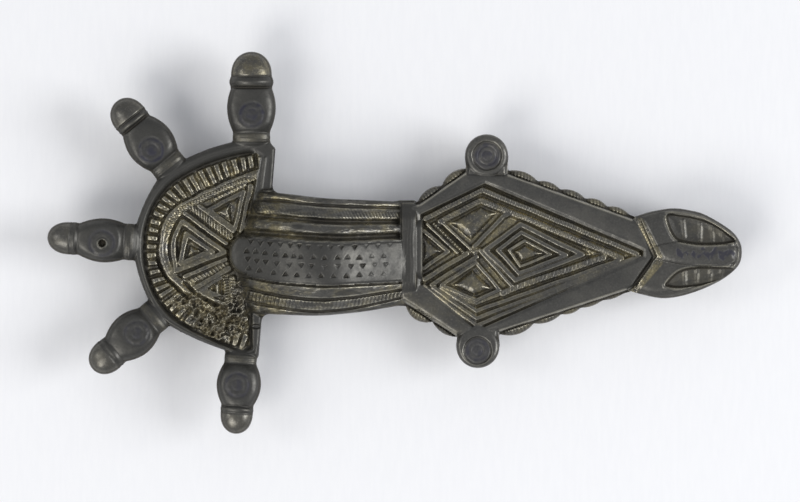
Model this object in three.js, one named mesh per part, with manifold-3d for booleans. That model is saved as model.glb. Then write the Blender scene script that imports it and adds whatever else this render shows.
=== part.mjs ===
// Radiate-headed bow brooch (fibula), cast in one piece, with a bar, coil and pin on its back.
// Millimetres, +Z up. The brooch lies face up on its back: +X runs from the head knobs to the
// animal-head terminal, +Y is across. The origin is at the middle of its footprint, on the ground.
import * as THREE from 'three';
import { mergeVertices } from 'three/addons/utils/BufferGeometryUtils.js';
import Module from 'manifold-3d';

const wasm = await Module();
wasm.setup();

// ---------------------------------------------------------------- driving dimensions
const BACK_Z = 4.7;             // back of the plates above the ground
const HEAD_TOP = 7.3;           // top of the head plate's rim
const HEAD_FLOOR = 6.25;        // floor of its carved field
const FOOT_TOP = 7.7;           // top of the foot plate's border
const FOOT_FLOOR = 6.5;         // floor of its carved field
const HEAD_C = [-21.3, -0.8];   // centre of the half-round head plate
const HEAD_R = 15.9;            // its radius, about
const RIM_W = 1.5;              // plain raised rim
const RIB_LONG = 2.35;          // length of the ribs inside it
const RIB_COUNT = 38;
const BOW_X0 = -23.8, BOW_X1 = 2.6;     // ends of the bow
const BOW_Z0 = 8.0, BOW_RISE = 6.6;     // height of its ends, and how far it arches over them
const BOW_THICK = 2.2;
const KNOB_Z = 6.75;            // height of a knob's long axis
const KNOB_FLAT = 0.86;         // height of a knob's section to its width
const KNOB_FACET = 1.95;        // flat on top of a knob's body, above its axis
const ROUNDEL_R = 3.1;
const WIRE_R = 0.55;            // spring wire
const COIL_R = 1.45;            // radius of the coil at the middle of the wire
const AXLE = { x: -30.2, z: 2.35, r: 0.7, y0: -13.0, y1: 11.6 };
const LUG_Y = [-9.9, 8.9];      // middle of the two spring lugs
const LUG_T = 1.3;
const PIN_Y = -1.0;
const PIN_TIP_X = 30.5, PIN_TIP_Z = 1.75;
const CATCH = { x0: 12.5, x1: 26.0, wallY: -1.8, wallT: 0.85, lipY: -1.27, lipZ: 0.7 };

// ---------------------------------------------------------------- solids
// A closed geometry as a solid: points closer than a ten-thousandth are one point.
function solid(geometry) {
  const g = geometry.clone();
  for (const name of Object.keys(g.attributes)) if (name !== 'position') g.deleteAttribute(name);
  const merged = mergeVertices(g, 1e-5);
  const p = merged.attributes.position, cell = 1e-4, cells = new Map(), points = [], same = [];
  for (let i = 0; i < p.count; i++) {
    const v = [p.getX(i), p.getY(i), p.getZ(i)], c = v.map((t) => Math.floor(t / cell));
    let found = -1;
    for (let n = 0; n < 27 && found < 0; n++) {
      const near = cells.get([c[0] + (n % 3) - 1, c[1] + (Math.floor(n / 3) % 3) - 1, c[2] + Math.floor(n / 9) - 1].join());
      if (near !== undefined && Math.hypot(...points[near].map((t, k) => t - v[k])) < cell) found = near;
    }
    if (found < 0) { found = points.push(v) - 1; cells.set(c.join(), found); }
    same.push(found);
  }
  const index = merged.index.array, keep = [];
  for (let i = 0; i < index.length; i += 3) {
    const [a, b, c] = [same[index[i]], same[index[i + 1]], same[index[i + 2]]];
    if (a !== b && b !== c && a !== c) keep.push(a, b, c);
  }
  return new wasm.Manifold(new wasm.Mesh({
    numProp: 3,
    vertProperties: new Float32Array(points.flat()),
    triVerts: new Uint32Array(keep),
  }));
}

// The solid's surface, with the very short edges that joining leaves closed up.
const SHORTEST_EDGE = 0.003;
function geometryOf(manifold) {
  const mesh = manifold.getMesh();
  const at = (i) => [0, 1, 2].map((k) => mesh.vertProperties[3 * i + k]);
  const parent = Array.from({ length: mesh.vertProperties.length / 3 }, (_, i) => i);
  const root = (i) => { while (parent[i] !== i) i = parent[i]; return i; };
  let faces = [];
  for (let i = 0; i < mesh.triVerts.length; i += 3) faces.push([...mesh.triVerts.slice(i, i + 3)]);
  for (let closed = 1; closed > 0;) {
    closed = 0;
    for (const f of faces) {
      for (let k = 0; k < 3; k++) {
        const a = root(f[k]), b = root(f[(k + 1) % 3]);
        if (a === b) continue;
        const p = at(a), q = at(b);
        if (Math.hypot(p[0] - q[0], p[1] - q[1], p[2] - q[2]) < SHORTEST_EDGE) { parent[Math.max(a, b)] = Math.min(a, b); closed++; }
      }
    }
    faces = faces.map((f) => f.map(root)).filter(([x, y, z]) => x !== y && y !== z && x !== z);
  }
  const seen = new Map();
  faces.forEach((f, i) => { const key = [...f].sort((x, y) => x - y).join(); seen.set(key, [...(seen.get(key) ?? []), i]); });
  const folded = new Set([...seen.values()].filter((list) => list.length > 1).flat());
  faces = faces.filter((_, i) => !folded.has(i));
  // slivers that closing up has cut loose are dropped: the faces joined edge to edge are the piece
  const group = faces.map((_, i) => i), head = (i) => { while (group[i] !== i) i = group[i] = group[group[i]]; return i; };
  const edges = new Map();
  faces.forEach((f, i) => f.forEach((v, k) => {
    const w = f[(k + 1) % 3], key = Math.min(v, w) + '_' + Math.max(v, w);
    if (edges.has(key)) group[head(i)] = head(edges.get(key)); else edges.set(key, i);
  }));
  const sizes = new Map();
  faces.forEach((_, i) => sizes.set(head(i), (sizes.get(head(i)) ?? 0) + 1));
  const main = [...sizes.entries()].sort((x, y) => y[1] - x[1])[0][0];
  faces = faces.filter((_, i) => head(i) === main);
  const g = new THREE.BufferGeometry();
  g.setAttribute('position', new THREE.BufferAttribute(new Float32Array(faces.flat().flatMap(at)), 3));
  g.computeVertexNormals();
  return g;
}

// An upright prism over a plan outline, its upper and lower edges bevelled.
function prism(outline, z0, z1, bevel = 0) {
  const shape = Array.isArray(outline) ? new THREE.Shape(outline.map(([x, y]) => new THREE.Vector2(x, y))) : outline;
  const g = new THREE.ExtrudeGeometry(shape, {
    depth: z1 - z0 - 2 * bevel, curveSegments: 10,
    bevelEnabled: bevel > 0, bevelThickness: bevel, bevelSize: bevel, bevelOffset: -bevel, bevelSegments: 1,
  });
  g.translate(0, 0, z0 + bevel);
  return solid(g);
}

// A block whose grid of points is carried to a curved place by a function of (u, v, top).
function mappedBlock(nu, nv, place) {
  const g = new THREE.BoxGeometry(1, 1, 1, nu, nv, 1);
  const p = g.attributes.position;
  for (let i = 0; i < p.count; i++) {
    const [x, y, z] = place(p.getX(i) + 0.5, p.getY(i) + 0.5, p.getZ(i) > 0);
    p.setXYZ(i, x, y, z);
  }
  return solid(g);
}

// A ridge of triangular section along a line on a floor.
function ridge([ax, ay], [bx, by], width, height, floor) {
  const along = Math.hypot(bx - ax, by - ay);
  const deep = 0.3, foot = (width / 2) * (height + deep) / height;    // its sides run on below the floor
  const section = new THREE.Shape([
    new THREE.Vector2(-foot, -deep), new THREE.Vector2(foot, -deep), new THREE.Vector2(0, height),
  ]);
  const g = new THREE.ExtrudeGeometry(section, { depth: along, bevelEnabled: false });
  g.rotateX(Math.PI / 2);                      // the section stands up, the length runs along -Y
  g.rotateZ(Math.atan2(by - ay, bx - ax) + Math.PI / 2);
  g.translate(ax, ay, floor);
  return solid(g);
}

const loopOfRidges = (points, width, height, floor) =>
  points.map((p, i) => ridge(p, points[(i + 1) % points.length], width, height, floor));

const cylinder = (x, y, z0, z1, r, segments = 20) => {
  const g = new THREE.CylinderGeometry(r, r, z1 - z0, segments);
  g.rotateX(Math.PI / 2);
  g.translate(x, y, (z0 + z1) / 2);
  return solid(g);
};

const lerp = (a, b, t) => a + (b - a) * t;
const clamp01 = (t) => Math.min(1, Math.max(0, t));
// straight-line reading of a short table of [station, value] pairs
const table = (rows, s) => {
  for (let i = 1; i < rows.length; i++) {
    if (s <= rows[i][0]) return lerp(rows[i - 1][1], rows[i][1], clamp01((s - rows[i - 1][0]) / (rows[i][0] - rows[i - 1][0])));
  }
  return rows[rows.length - 1][1];
};
const scalePoints = (points, k) => {
  const c = points.reduce((s, p) => [s[0] + p[0] / points.length, s[1] + p[1] / points.length], [0, 0]);
  return points.map(([x, y]) => [c[0] + (x - c[0]) * k, c[1] + (y - c[1]) * k]);
};

// ---------------------------------------------------------------- head plate
// Its half-round edge runs in slightly bowed sides from knob to knob.
const HEAD_SIDES = [[-18.0, 14.55], [-23.2, 14.6], [-30.0, 12.2], [-34.2, 9.1], [-37.1, 3.0], [-37.45, -2.2], [-35.4, -8.3], [-32.6, -11.8],
  [-24.6, -15.4], [-19.6, -16.5]];
const BULGE = 0.22;
const headEdge = HEAD_SIDES.flatMap(([x, y], i) => {
  if (i === HEAD_SIDES.length - 1) return [[x, y]];
  const [nx, ny] = HEAD_SIDES[i + 1], long = Math.hypot(nx - x, ny - y);
  return [0, 1 / 3, 2 / 3].map((t) => [
    lerp(x, nx, t) + (ny - y) / long * BULGE * Math.sin(Math.PI * t), lerp(y, ny, t) - (nx - x) / long * BULGE * Math.sin(Math.PI * t),
  ].map((v, k) => (t === 0 ? [x, y][k] : v)));
});
// distance from the head's centre to its edge in a direction
function headRadius(angle) {
  const dx = Math.cos(angle), dy = Math.sin(angle);
  for (let i = 0; i + 1 < headEdge.length; i++) {
    const [ax, ay] = [headEdge[i][0] - HEAD_C[0], headEdge[i][1] - HEAD_C[1]], [bx, by] = [headEdge[i + 1][0] - HEAD_C[0], headEdge[i + 1][1] - HEAD_C[1]];
    const ca = dx * ay - dy * ax, cb = dx * by - dy * bx;
    if (ca <= 0 && cb >= 0 && cb - ca > 1e-9) {
      const t = -ca / (cb - ca), r = (ax + (bx - ax) * t) * dx + (ay + (by - ay) * t) * dy;
      if (r > 0) return r;
    }
  }
  return HEAD_R;
}
const headRing = (inset) => Array.from({ length: 31 }, (_, i) => {
  const a = (78 + (198 * i) / 30) * Math.PI / 180, r = headRadius(a) - inset;
  return [HEAD_C[0] + r * Math.cos(a), HEAD_C[1] + r * Math.sin(a)];
});
let body = prism([...headEdge, [-17.15, 13.6]].reverse(), BACK_Z, HEAD_TOP, 0.35);

// carved field: half-round, open towards the bow along a line that leans in at the middle
const fieldInner = [[-20.75, -14.9], [-22.55, -5.3], [-22.6, 1.0], [-19.6, 12.9]];
const fieldSide = prism([...fieldInner, [-19.6, 20], [-42, 20], [-42, -20], [-20.75, -20]], HEAD_FLOOR - 3, HEAD_TOP + 3);
const headField = (inset, floor, top) => prism([...headRing(inset), [-18, -14], [-18, 12]], floor, top).intersect(fieldSide);
body = body.subtract(headField(RIM_W, HEAD_FLOOR, HEAD_TOP + 2));

// ribbed band
const ribs = [];
for (let i = 0; i < RIB_COUNT; i++) {
  const a = (84 + (186 * (i + 0.5)) / RIB_COUNT) * Math.PI / 180;
  const at = (inset) => { const r = headRadius(a) - inset; return [HEAD_C[0] + r * Math.cos(a), HEAD_C[1] + r * Math.sin(a)]; };
  ribs.push(ridge(at(RIM_W + RIB_LONG), at(RIM_W - 0.2), 0.72, 0.72, HEAD_FLOOR));
}
// plain ridges inside the ribs
const arcRidge = (inset, width, height) =>
  prism([...headRing(inset - width / 2), ...headRing(inset + width / 2).reverse()], HEAD_FLOOR - 0.3, HEAD_FLOOR + height, 0.24);
const headRelief = [
  ...ribs, arcRidge(RIM_W + RIB_LONG + 0.35, 0.7, 0.85), arcRidge(RIM_W + RIB_LONG + 1.3, 0.65, 0.75),
  // nested triangles at the middle, its side triangles, and the bands that part them
  ...loopOfRidges([[-30.6, 3.3], [-24.2, -1.15], [-31.5, -4.7]], 0.8, 0.95, HEAD_FLOOR),
  prism(scalePoints([[-30.4, 2.9], [-24.5, -1.15], [-31.4, -4.3]], 0.52), HEAD_FLOOR - 0.3, HEAD_FLOOR + 0.8, 0.25),
  ridge([-31.2, 5.5], [-23.4, 0.4], 1.5, 0.75, HEAD_FLOOR), ridge([-23.9, -2.5], [-31.0, -6.0], 1.5, 0.75, HEAD_FLOOR),
  ...loopOfRidges([[-27.4, 5.6], [-21.9, 8.6], [-23.5, 2.2]], 0.7, 0.85, HEAD_FLOOR),
  ...loopOfRidges([[-28.6, -6.8], [-24.9, -4.9], [-24.6, -9.5]], 0.7, 0.8, HEAD_FLOOR),
];
body = body.add(wasm.Manifold.union(headRelief).intersect(headField(RIM_W - 0.3, HEAD_FLOOR - 0.35, HEAD_TOP + 2)));
// the flat strip beside the field, with its thin line ridges
body = body.add(ridge([-18.7, 13.4], [-21.8, 3.4], 0.5, 0.45, HEAD_TOP - 0.1))
  .add(ridge([-18.4, 11.8], [-19.1, 7.6], 0.35, 0.3, HEAD_TOP - 0.1));

// ---------------------------------------------------------------- knobs
// Each: base point on the rim, direction, and length to the tip; half-widths of collar, body, ring and dome.
const KNOBS = [
  { base: [-37.3, 0.1], angle: 176.5, length: 12.7, collar: 2.6, body: 3.3, ring: 2.4, dome: 2.34 },
  { base: [-32.1, 10.6], angle: 129, length: 12.6, collar: 2.5, body: 3.55, ring: 2.6, dome: 2.6 },
  { base: [-20.6, 14.3], angle: 90, length: 13.25, collar: 2.66, body: 3.68, ring: 3.2, dome: 2.95 },
  { base: [-34.1, -10.2], angle: 220, length: 12.3, collar: 2.4, body: 3.42, ring: 2.45, dome: 2.45 },
  { base: [-22.1, -15.9], angle: 265.9, length: 11.6, collar: 2.3, body: 3.32, ring: 2.42, dome: 2.33 },
];
function knob({ base, angle, length, collar, body: belly, ring, dome }) {
  const L = length, collarEnd = 0.12 * L, bodyEnd = 0.655 * L, ringEnd = 0.735 * L;
  const half = (t) => {
    if (t < collarEnd) return collar;
    if (t < bodyEnd) {
      const s = (t - collarEnd) / (bodyEnd - collarEnd);
      return lerp(collar * 0.97, ring * 0.9, s) + (belly - lerp(collar, ring, 0.5)) * Math.pow(Math.sin(Math.PI * s), 0.85) * 1.04;
    }
    if (t < ringEnd) return ring * (0.92 + 0.08 * Math.sin(Math.PI * (t - bodyEnd) / (ringEnd - bodyEnd)));
    const s = (t - ringEnd) / (L - ringEnd);
    return dome * Math.pow(Math.max(0, 1 - Math.pow(s, 2.4)), 0.5);
  };
  const stations = [0, 0.115, 0.13, 0.22, 0.33, 0.45, 0.56, 0.65, 0.695, 0.74, 0.83, 0.91, 0.97];
  const profile = [[0, -1.4], [half(0) * 0.9, -1.4], ...stations.map((s) => [half(s * L), s * L]), [0, L]];
  const g = new THREE.LatheGeometry(profile.map(([r, t]) => new THREE.Vector2(r, t)), 14);
  g.rotateZ(-Math.PI / 2);                // its axis runs along +X
  g.scale(1, 1, KNOB_FLAT);
  g.rotateZ(angle * Math.PI / 180);
  g.translate(base[0], base[1], KNOB_Z);
  const box = new THREE.BoxGeometry(0.53 * L, 12, 4);
  box.translate(0.39 * L, 0, KNOB_FACET + 2);
  box.rotateZ(angle * Math.PI / 180);
  box.translate(base[0], base[1], KNOB_Z);
  const floor = new THREE.BoxGeometry(60, 60, 10);
  floor.translate(base[0], base[1], BACK_Z - 0.1 - 5);
  return solid(g).subtract(solid(box)).subtract(solid(floor));
}
body = body.add(wasm.Manifold.union(KNOBS.map(knob)));
// the drilled eye in the middle knob
body = body.subtract(cylinder(-42.1, 0.0, KNOB_Z + 0.9, KNOB_Z + 4, 0.5, 12));

// ---------------------------------------------------------------- bow
// Across the bow, from the raised middle band outwards: [share of the flank, relief].
const UPPER_FLANK = [[0, 0], [0.1, -0.6], [0.2, -0.12], [0.32, 0], [0.46, -0.5], [0.56, -0.05], [0.7, 0], [0.8, -0.42], [0.9, -0.05], [1, -0.25]];
const LOWER_FLANK = [[0, 0], [0.08, -0.5], [0.2, 0], [0.37, -0.5], [0.48, -0.05], [0.6, 0], [0.73, -0.42], [0.87, -0.05], [1, -0.25]];
const bowArc = (x) => Math.sin(Math.PI * clamp01((x - BOW_X0) / (BOW_X1 - BOW_X0)));
const bowTop = (x) => BOW_Z0 + BOW_RISE * Math.pow(bowArc(x), 1.2);
const bowUpperY = (x) => table([[-23.8, 7.6], [-16.5, 7.2], [-10, 6.4], [2.6, 5.9]], x);
const bowLowerY = (x) => table([[-23.8, -9.9], [-18.8, -10.2], [-10.9, -10.5], [-4.8, -9.95], [2.6, -8.7]], x);
const bandUpperY = (x) => table([[-23.8, 1.1], [-13.5, 0.25], [-7.4, 0.0], [2.6, 0.55]], x);
const bandLowerY = (x) => table([[-23.8, -4.3], [-17, -5.7], [-10, -6.2], [2.6, -5.6]], x);
const bowDrop = (x) => 1.2 + 2.3 * bowArc(x);

// the whole width of the bow, a thin arched strap with ridged flanks
const flankStops = (flank) => flank.map(([f]) => f);
const across = [                              // -1..0 lower flank, 0..1 band, 1..2 upper flank
  ...flankStops(LOWER_FLANK).map((f) => -f).reverse(), 0.5,
  ...flankStops(UPPER_FLANK).map((f) => 1 + f),
];
function bowPlace(x, s, top) {
  let y, f, relief;
  if (s <= 0) { f = -s; y = lerp(bandLowerY(x), bowLowerY(x), f); relief = table(LOWER_FLANK, f); }
  else if (s >= 1) { f = s - 1; y = lerp(bandUpperY(x), bowUpperY(x), f); relief = table(UPPER_FLANK, f); }
  else { f = 0; y = lerp(bandLowerY(x), bandUpperY(x), s); relief = 0; }
  const smooth = bowTop(x) - 0.35 - bowDrop(x) * Math.pow(f, 1.35);
  const z = top ? smooth + relief : Math.max(BACK_Z + 0.3, smooth - lerp(BOW_THICK, BOW_THICK - 0.45, f));
  return [x, y, Math.max(z, BACK_Z + (top ? 0.8 : 0.3))];
}
const NU = 16, NV = across.length - 1;
body = body.add(mappedBlock(NU, NV, (u, v, top) => bowPlace(lerp(-21.9, BOW_X1, u), across[Math.round(v * NV)], top)));
// the flat band along its top, round-ended over the head plate
const band = mappedBlock(16, 1, (u, v, top) => {
  const x = lerp(BOW_X0, BOW_X1 - 0.6, u);
  return [x, lerp(bandLowerY(x), bandUpperY(x), v), bowTop(x) - (top ? 0 : 2.2)];
});
const bandEnd = new THREE.Shape();
bandEnd.moveTo(3, -8);
bandEnd.lineTo(3, 3);
bandEnd.lineTo(-21.6, 3);
bandEnd.absellipse(-21.2, -1.6, 2.6, 3.0, Math.PI / 2, 1.5 * Math.PI, false);
bandEnd.lineTo(-21.2, -8);
body = body.add(band.intersect(prism(bandEnd, 5, 20)));

// ---------------------------------------------------------------- foot plate
const footOutline = [[0.8, -8.1], [8.85, -13.3], [15.3, -13.1], [34.2, -6.9], [37.6, -1.9], [35.2, 3.6], [16.3, 10.5], [10.3, 10.7], [3.2, 5.8], [0.9, 5.6]];
const fieldOutline = [[3.9, -5.9], [11.7, -12.3], [35.4, -1.6], [12.95, 8.4], [3.9, 3.6]];
let foot = prism(footOutline, BACK_Z, FOOT_TOP, 0.3);
// scalloped lower edge: rows of lobes along the sides
const LOBE_R = 1.85;
const lobeRow = (from, to, count) => Array.from({ length: count }, (_, i) => {
  const t = count > 1 ? i / (count - 1) : 0.5;
  return cylinder(lerp(from[0], to[0], t), lerp(from[1], to[1], t), BACK_Z + 0.15, FOOT_TOP - 1.0, LOBE_R, 14);
});
foot = foot.add(wasm.Manifold.union([
  ...lobeRow([17.9, 8.6], [31.9, 3.0], 5), ...lobeRow([8.9, 8.5], [5.5, 6.2], 2),
  ...lobeRow([3.5, -9.2], [7.2, -11.5], 2), ...lobeRow([18.1, -11.1], [31.3, -6.2], 5),
]));
foot = foot.subtract(prism(fieldOutline, FOOT_FLOOR, FOOT_TOP + 1));
const LOZENGE = [[17.9, 3.4], [28.4, -1.5], [17.05, -5.9], [12.3, -1.15]];
const footRelief = [
  ...loopOfRidges([[5.0, 3.1], [12.75, 7.2], [33.4, -1.55], [11.75, -10.7], [4.8, -5.9]], 0.9, 0.95, FOOT_FLOOR),
  ridge([12.75, 6.0], [30.4, -1.45], 1.0, 0.7, FOOT_FLOOR), ridge([30.2, -1.45], [11.75, -8.9], 1.0, 0.7, FOOT_FLOOR),
  ridge([4.7, 4.4], [16.9, -6.2], 0.8, 0.95, FOOT_FLOOR), ridge([4.4, -6.2], [17.3, 3.8], 0.8, 0.95, FOOT_FLOOR),
  ridge([5.4, 2.7], [10.9, -1.4], 0.7, 0.6, FOOT_FLOOR), ridge([5.0, -3.9], [9.6, -0.7], 0.6, 0.5, FOOT_FLOOR),
  ...loopOfRidges(LOZENGE, 0.8, 1.0, FOOT_FLOOR), ...loopOfRidges(scalePoints(LOZENGE, 0.62), 0.7, 0.95, FOOT_FLOOR),
  prism(scalePoints(LOZENGE, 0.3), FOOT_FLOOR - 0.3, FOOT_FLOOR + 1.0, 0.3),
  // the small lozenges above and below the crossing
  prism([[8.6, 3.2], [12.1, 5.1], [13.9, 3.0], [10.9, 0.3]].reverse(), FOOT_FLOOR - 0.3, FOOT_FLOOR + 0.7, 0.3),
  ...loopOfRidges([[6.4, -5.9], [11.3, -2.3], [15.2, -6.0], [11.2, -8.1]], 0.6, 0.75, FOOT_FLOOR),
  prism([[8.9, -5.9], [11.3, -4.2], [13.2, -5.8], [11.2, -7.0]].reverse(), FOOT_FLOOR - 0.3, FOOT_FLOOR + 0.75, 0.3),
];
foot = foot.add(wasm.Manifold.union(footRelief).intersect(prism(scalePoints(fieldOutline, 1.01), FOOT_FLOOR - 0.35, FOOT_TOP + 1)));
body = body.add(foot);

// roundels on the two wide corners
const roundel = (x, y) => {
  const R = ROUNDEL_R, top = FOOT_TOP + 0.1;
  const g = new THREE.LatheGeometry([
    [0, BACK_Z], [R, BACK_Z], [R, top - 0.8], [R * 0.86, top - 0.05], [R * 0.72, top - 0.05],
    [R * 0.64, top - 0.35], [R * 0.5, top], [0, top],
  ].map(([r, z]) => new THREE.Vector2(r, z)), 22);
  g.rotateX(Math.PI / 2);
  g.translate(x, y, 0);
  return solid(g);
};
body = body.add(roundel(13.25, 12.55)).add(roundel(12.0, -14.9));
body = body.add(prism([[10.2, 9.5], [16.4, 9.5], [16.3, 12.4], [10.2, 12.4]], BACK_Z, FOOT_TOP - 0.15, 0.25))
  .add(prism([[9.0, -14.8], [15.0, -14.8], [15.1, -12], [9.0, -12]], BACK_Z, FOOT_TOP - 0.15, 0.25));

// moulded bar across the root of the foot, and the low ridge beside it
const crossBar = (x0, x1, y0, y1, top) => {
  const w = x1 - x0;
  return mappedBlock(4, 6, (u, v, up) => [lerp(x0, x1, u), lerp(y0, y1, v),
    up ? lerp(top - 0.3 * w, top, Math.pow(Math.sin(Math.PI * clamp01(u * 0.86 + 0.07)), 0.6)) : BACK_Z + 0.2]);
};
body = body.add(crossBar(0.85, 3.1, -8.1, 5.8, 9.1)).add(crossBar(3.2, 4.0, -6.2, 4.4, 8.2));

// ---------------------------------------------------------------- animal-head terminal
const snout = new THREE.Shape();
const through = (points) => snout.splineThru(points.map(([x, y]) => new THREE.Vector2(x, y)));
snout.moveTo(50.0, -1.3);
through([[49.4, -3.4], [46.6, -5.6], [42.2, -7.4], [38.4, -7.95], [35.2, -7.2]]);
snout.lineTo(34.8, 3.8);
through([[36.6, 4.45], [39.9, 5.0], [42.6, 4.7], [44.9, 4.0], [48.2, 2.0], [49.6, 0.4], [50.0, -1.3]]);
const snoutPoints = snout.getPoints(4).slice(0, -1);
const terminalPlate = (() => {
  const g = new THREE.ExtrudeGeometry(new THREE.Shape(snoutPoints), {
    depth: 1.7, bevelEnabled: true, bevelThickness: 0.95, bevelSize: 0.8, bevelOffset: -0.8, bevelSegments: 3,
  });
  g.translate(0, 0, BACK_Z + 0.95);
  return solid(g);
})();
body = body.add(terminalPlate);
// leaf-shaped hollows, either side of the snout, with low cross ribs
const leaf = (points) => { const s = new THREE.Shape(); s.moveTo(...points[0]); s.splineThru([...points.slice(1), points[0]].map(([x, y]) => new THREE.Vector2(x, y))); return s.getPoints(3).map((q) => [q.x, q.y]).slice(0, -1); };
const TERMINAL_TOP = BACK_Z + 3.6;
const upperLeaf = [[39.2, 3.8], [40.1, 1.2], [43.5, 0.35], [47.9, 0.6], [46.6, 2.1], [43.5, 3.7]];
const lowerLeaf = [[39.2, -5.9], [40.9, -3.9], [44.6, -3.6], [47.7, -4.0], [45.0, -5.6], [41.4, -6.5]];
for (const points of [upperLeaf, lowerLeaf]) {
  const hollow = prism(leaf(points), TERMINAL_TOP - 0.75, TERMINAL_TOP + 2);
  body = body.subtract(hollow);
}
const leafRibs = [];
for (const x of [41.2, 43.4, 45.2]) {
  leafRibs.push(ridge([x, 3.4 - 0.28 * (x - 41)], [x + 0.2, 0.7], 0.7, 0.4, TERMINAL_TOP - 0.8));
  leafRibs.push(ridge([x - 0.2, -6.0 + 0.18 * (x - 41)], [x, -4.0], 0.7, 0.35, TERMINAL_TOP - 0.8));
}
body = body.add(wasm.Manifold.union(leafRibs));
// the raised snout between them
const snoutRidge = new THREE.SphereGeometry(1, 14, 8);
snoutRidge.scale(6.4, 1.55, 1.25);
snoutRidge.rotateZ(-0.03);
snoutRidge.translate(43.4, -1.55, TERMINAL_TOP - 0.25);
body = body.add(solid(snoutRidge));
// the double V that ends the foot plate
body = body.add(ridge([35.4, 2.9], [38.75, -2.2], 1.15, 0.55, FOOT_TOP - 0.15)).add(ridge([38.7, -1.9], [34.1, -7.1], 1.1, 0.5, FOOT_TOP - 0.15));

// ---------------------------------------------------------------- lugs and catch on the back
for (const y of LUG_Y) {
  const s = new THREE.Shape([[-3.4, BACK_Z + 0.9], [-2.0, 1.0], [-1.1, 0], [1.1, 0], [2.0, 1.0], [3.4, BACK_Z + 0.9]].map(([x, z]) => new THREE.Vector2(x, z)));
  const hole = new THREE.Path();
  hole.absarc(0, AXLE.z, AXLE.r + 0.3, 0, 2 * Math.PI, true);
  s.holes.push(hole);
  const g = new THREE.ExtrudeGeometry(s, { depth: LUG_T, bevelEnabled: false, curveSegments: 14 });
  g.rotateX(Math.PI / 2);
  g.translate(AXLE.x, y + LUG_T / 2, 0);
  body = body.add(solid(g));
}
const catchShape = [
  [CATCH.wallY - CATCH.wallT, BACK_Z + 0.5], [CATCH.wallY - CATCH.wallT, 0.35], [CATCH.wallY - CATCH.wallT + 0.35, 0],
  [CATCH.lipY, 0], [CATCH.lipY, CATCH.lipZ], [CATCH.wallY + 0.05, CATCH.lipZ], [CATCH.wallY, CATCH.lipZ + 0.1], [CATCH.wallY, 2.9], [CATCH.wallY + 0.5, 3.9], [CATCH.wallY + 0.9, BACK_Z + 0.5],
];
const catchPlate = (() => {
  const g = new THREE.ExtrudeGeometry(new THREE.Shape(catchShape.map(([y, z]) => new THREE.Vector2(y, z))), { depth: CATCH.x1 - CATCH.x0, bevelEnabled: false });
  // shape x -> world Y, shape y -> world Z, depth -> world X
  g.applyMatrix4(new THREE.Matrix4().makeBasis(new THREE.Vector3(0, 1, 0), new THREE.Vector3(0, 0, 1), new THREE.Vector3(1, 0, 0)));
  g.translate(CATCH.x0, 0, 0);
  return solid(g);
})();
body = body.add(catchPlate);

// ---------------------------------------------------------------- bar, coil and pin
const axle = new THREE.LatheGeometry([
  [0, AXLE.y0], [AXLE.r + 0.25, AXLE.y0 + 0.1], [AXLE.r + 0.4, AXLE.y0 + 0.7], [AXLE.r + 0.25, AXLE.y0 + 1.3], [AXLE.r, AXLE.y0 + 1.4],
  [AXLE.r, AXLE.y1 - 1.4], [AXLE.r + 0.25, AXLE.y1 - 1.3], [AXLE.r + 0.4, AXLE.y1 - 0.7], [AXLE.r + 0.25, AXLE.y1 - 0.1], [0, AXLE.y1],
].map(([r, y]) => new THREE.Vector2(r, y)), 14);
axle.translate(AXLE.x, 0, AXLE.z);

// One wire: from the pin's root it winds outwards to the -Y lug, crosses behind as the chord,
// and winds back inwards on the +Y side.
const TURNS = 5, PITCH = 1.36, CHORD_R = COIL_R + 2 * WIRE_R + 0.3;
const FAR_COIL_Y = -0.54;       // twice the middle between the two coils
const coilPoint = (turn, y, r) => {
  const a = turn * 2 * Math.PI;
  return new THREE.Vector3(AXLE.x + r * Math.cos(a), y, AXLE.z + r * Math.sin(a));
};
const smooth = (t) => { t = clamp01(t); return t * t * (3 - 2 * t); };
const coilPath = (() => {
  const pts = [];
  pts.push(new THREE.Vector3(AXLE.x + 1.0, PIN_Y, AXLE.z - COIL_R + 0.005));
  const start = 0.75, wound = TURNS + 0.25;           // turns, counted from +X towards +Z
  const steps = 9;
  for (let k = 0; k <= Math.round(wound * steps); k++) {
    const gone = k / steps;
    pts.push(coilPoint(start - gone, PIN_Y - 0.1 - PITCH * gone, lerp(COIL_R, CHORD_R, smooth((gone - TURNS + 0.05) / 0.28))));
  }
  const last = pts[pts.length - 1];
  const mirrorY = (y) => FAR_COIL_Y - y;              // the other coil mirrors this one
  const far = pts.slice(1).map((p) => new THREE.Vector3(p.x, mirrorY(p.y), p.z)).reverse();
  const chord = [0.12, 0.5, 0.88].map((t) => new THREE.Vector3(lerp(last.x, far[0].x, t) - 0.12, lerp(last.y + 0.0, far[0].y, t), lerp(last.z, far[0].z, t)));
  return new THREE.CatmullRomCurve3([...pts, ...chord, ...far], false, 'centripetal');
})();
const wireSection = new THREE.Shape(Array.from({ length: 6 }, (_, i) => {
  const a = (i / 6) * 2 * Math.PI;
  return new THREE.Vector2(WIRE_R * Math.cos(a), WIRE_R * Math.sin(a));
}));
const coil = new THREE.ExtrudeGeometry(wireSection, { steps: 104, extrudePath: coilPath, bevelEnabled: false });

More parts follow.
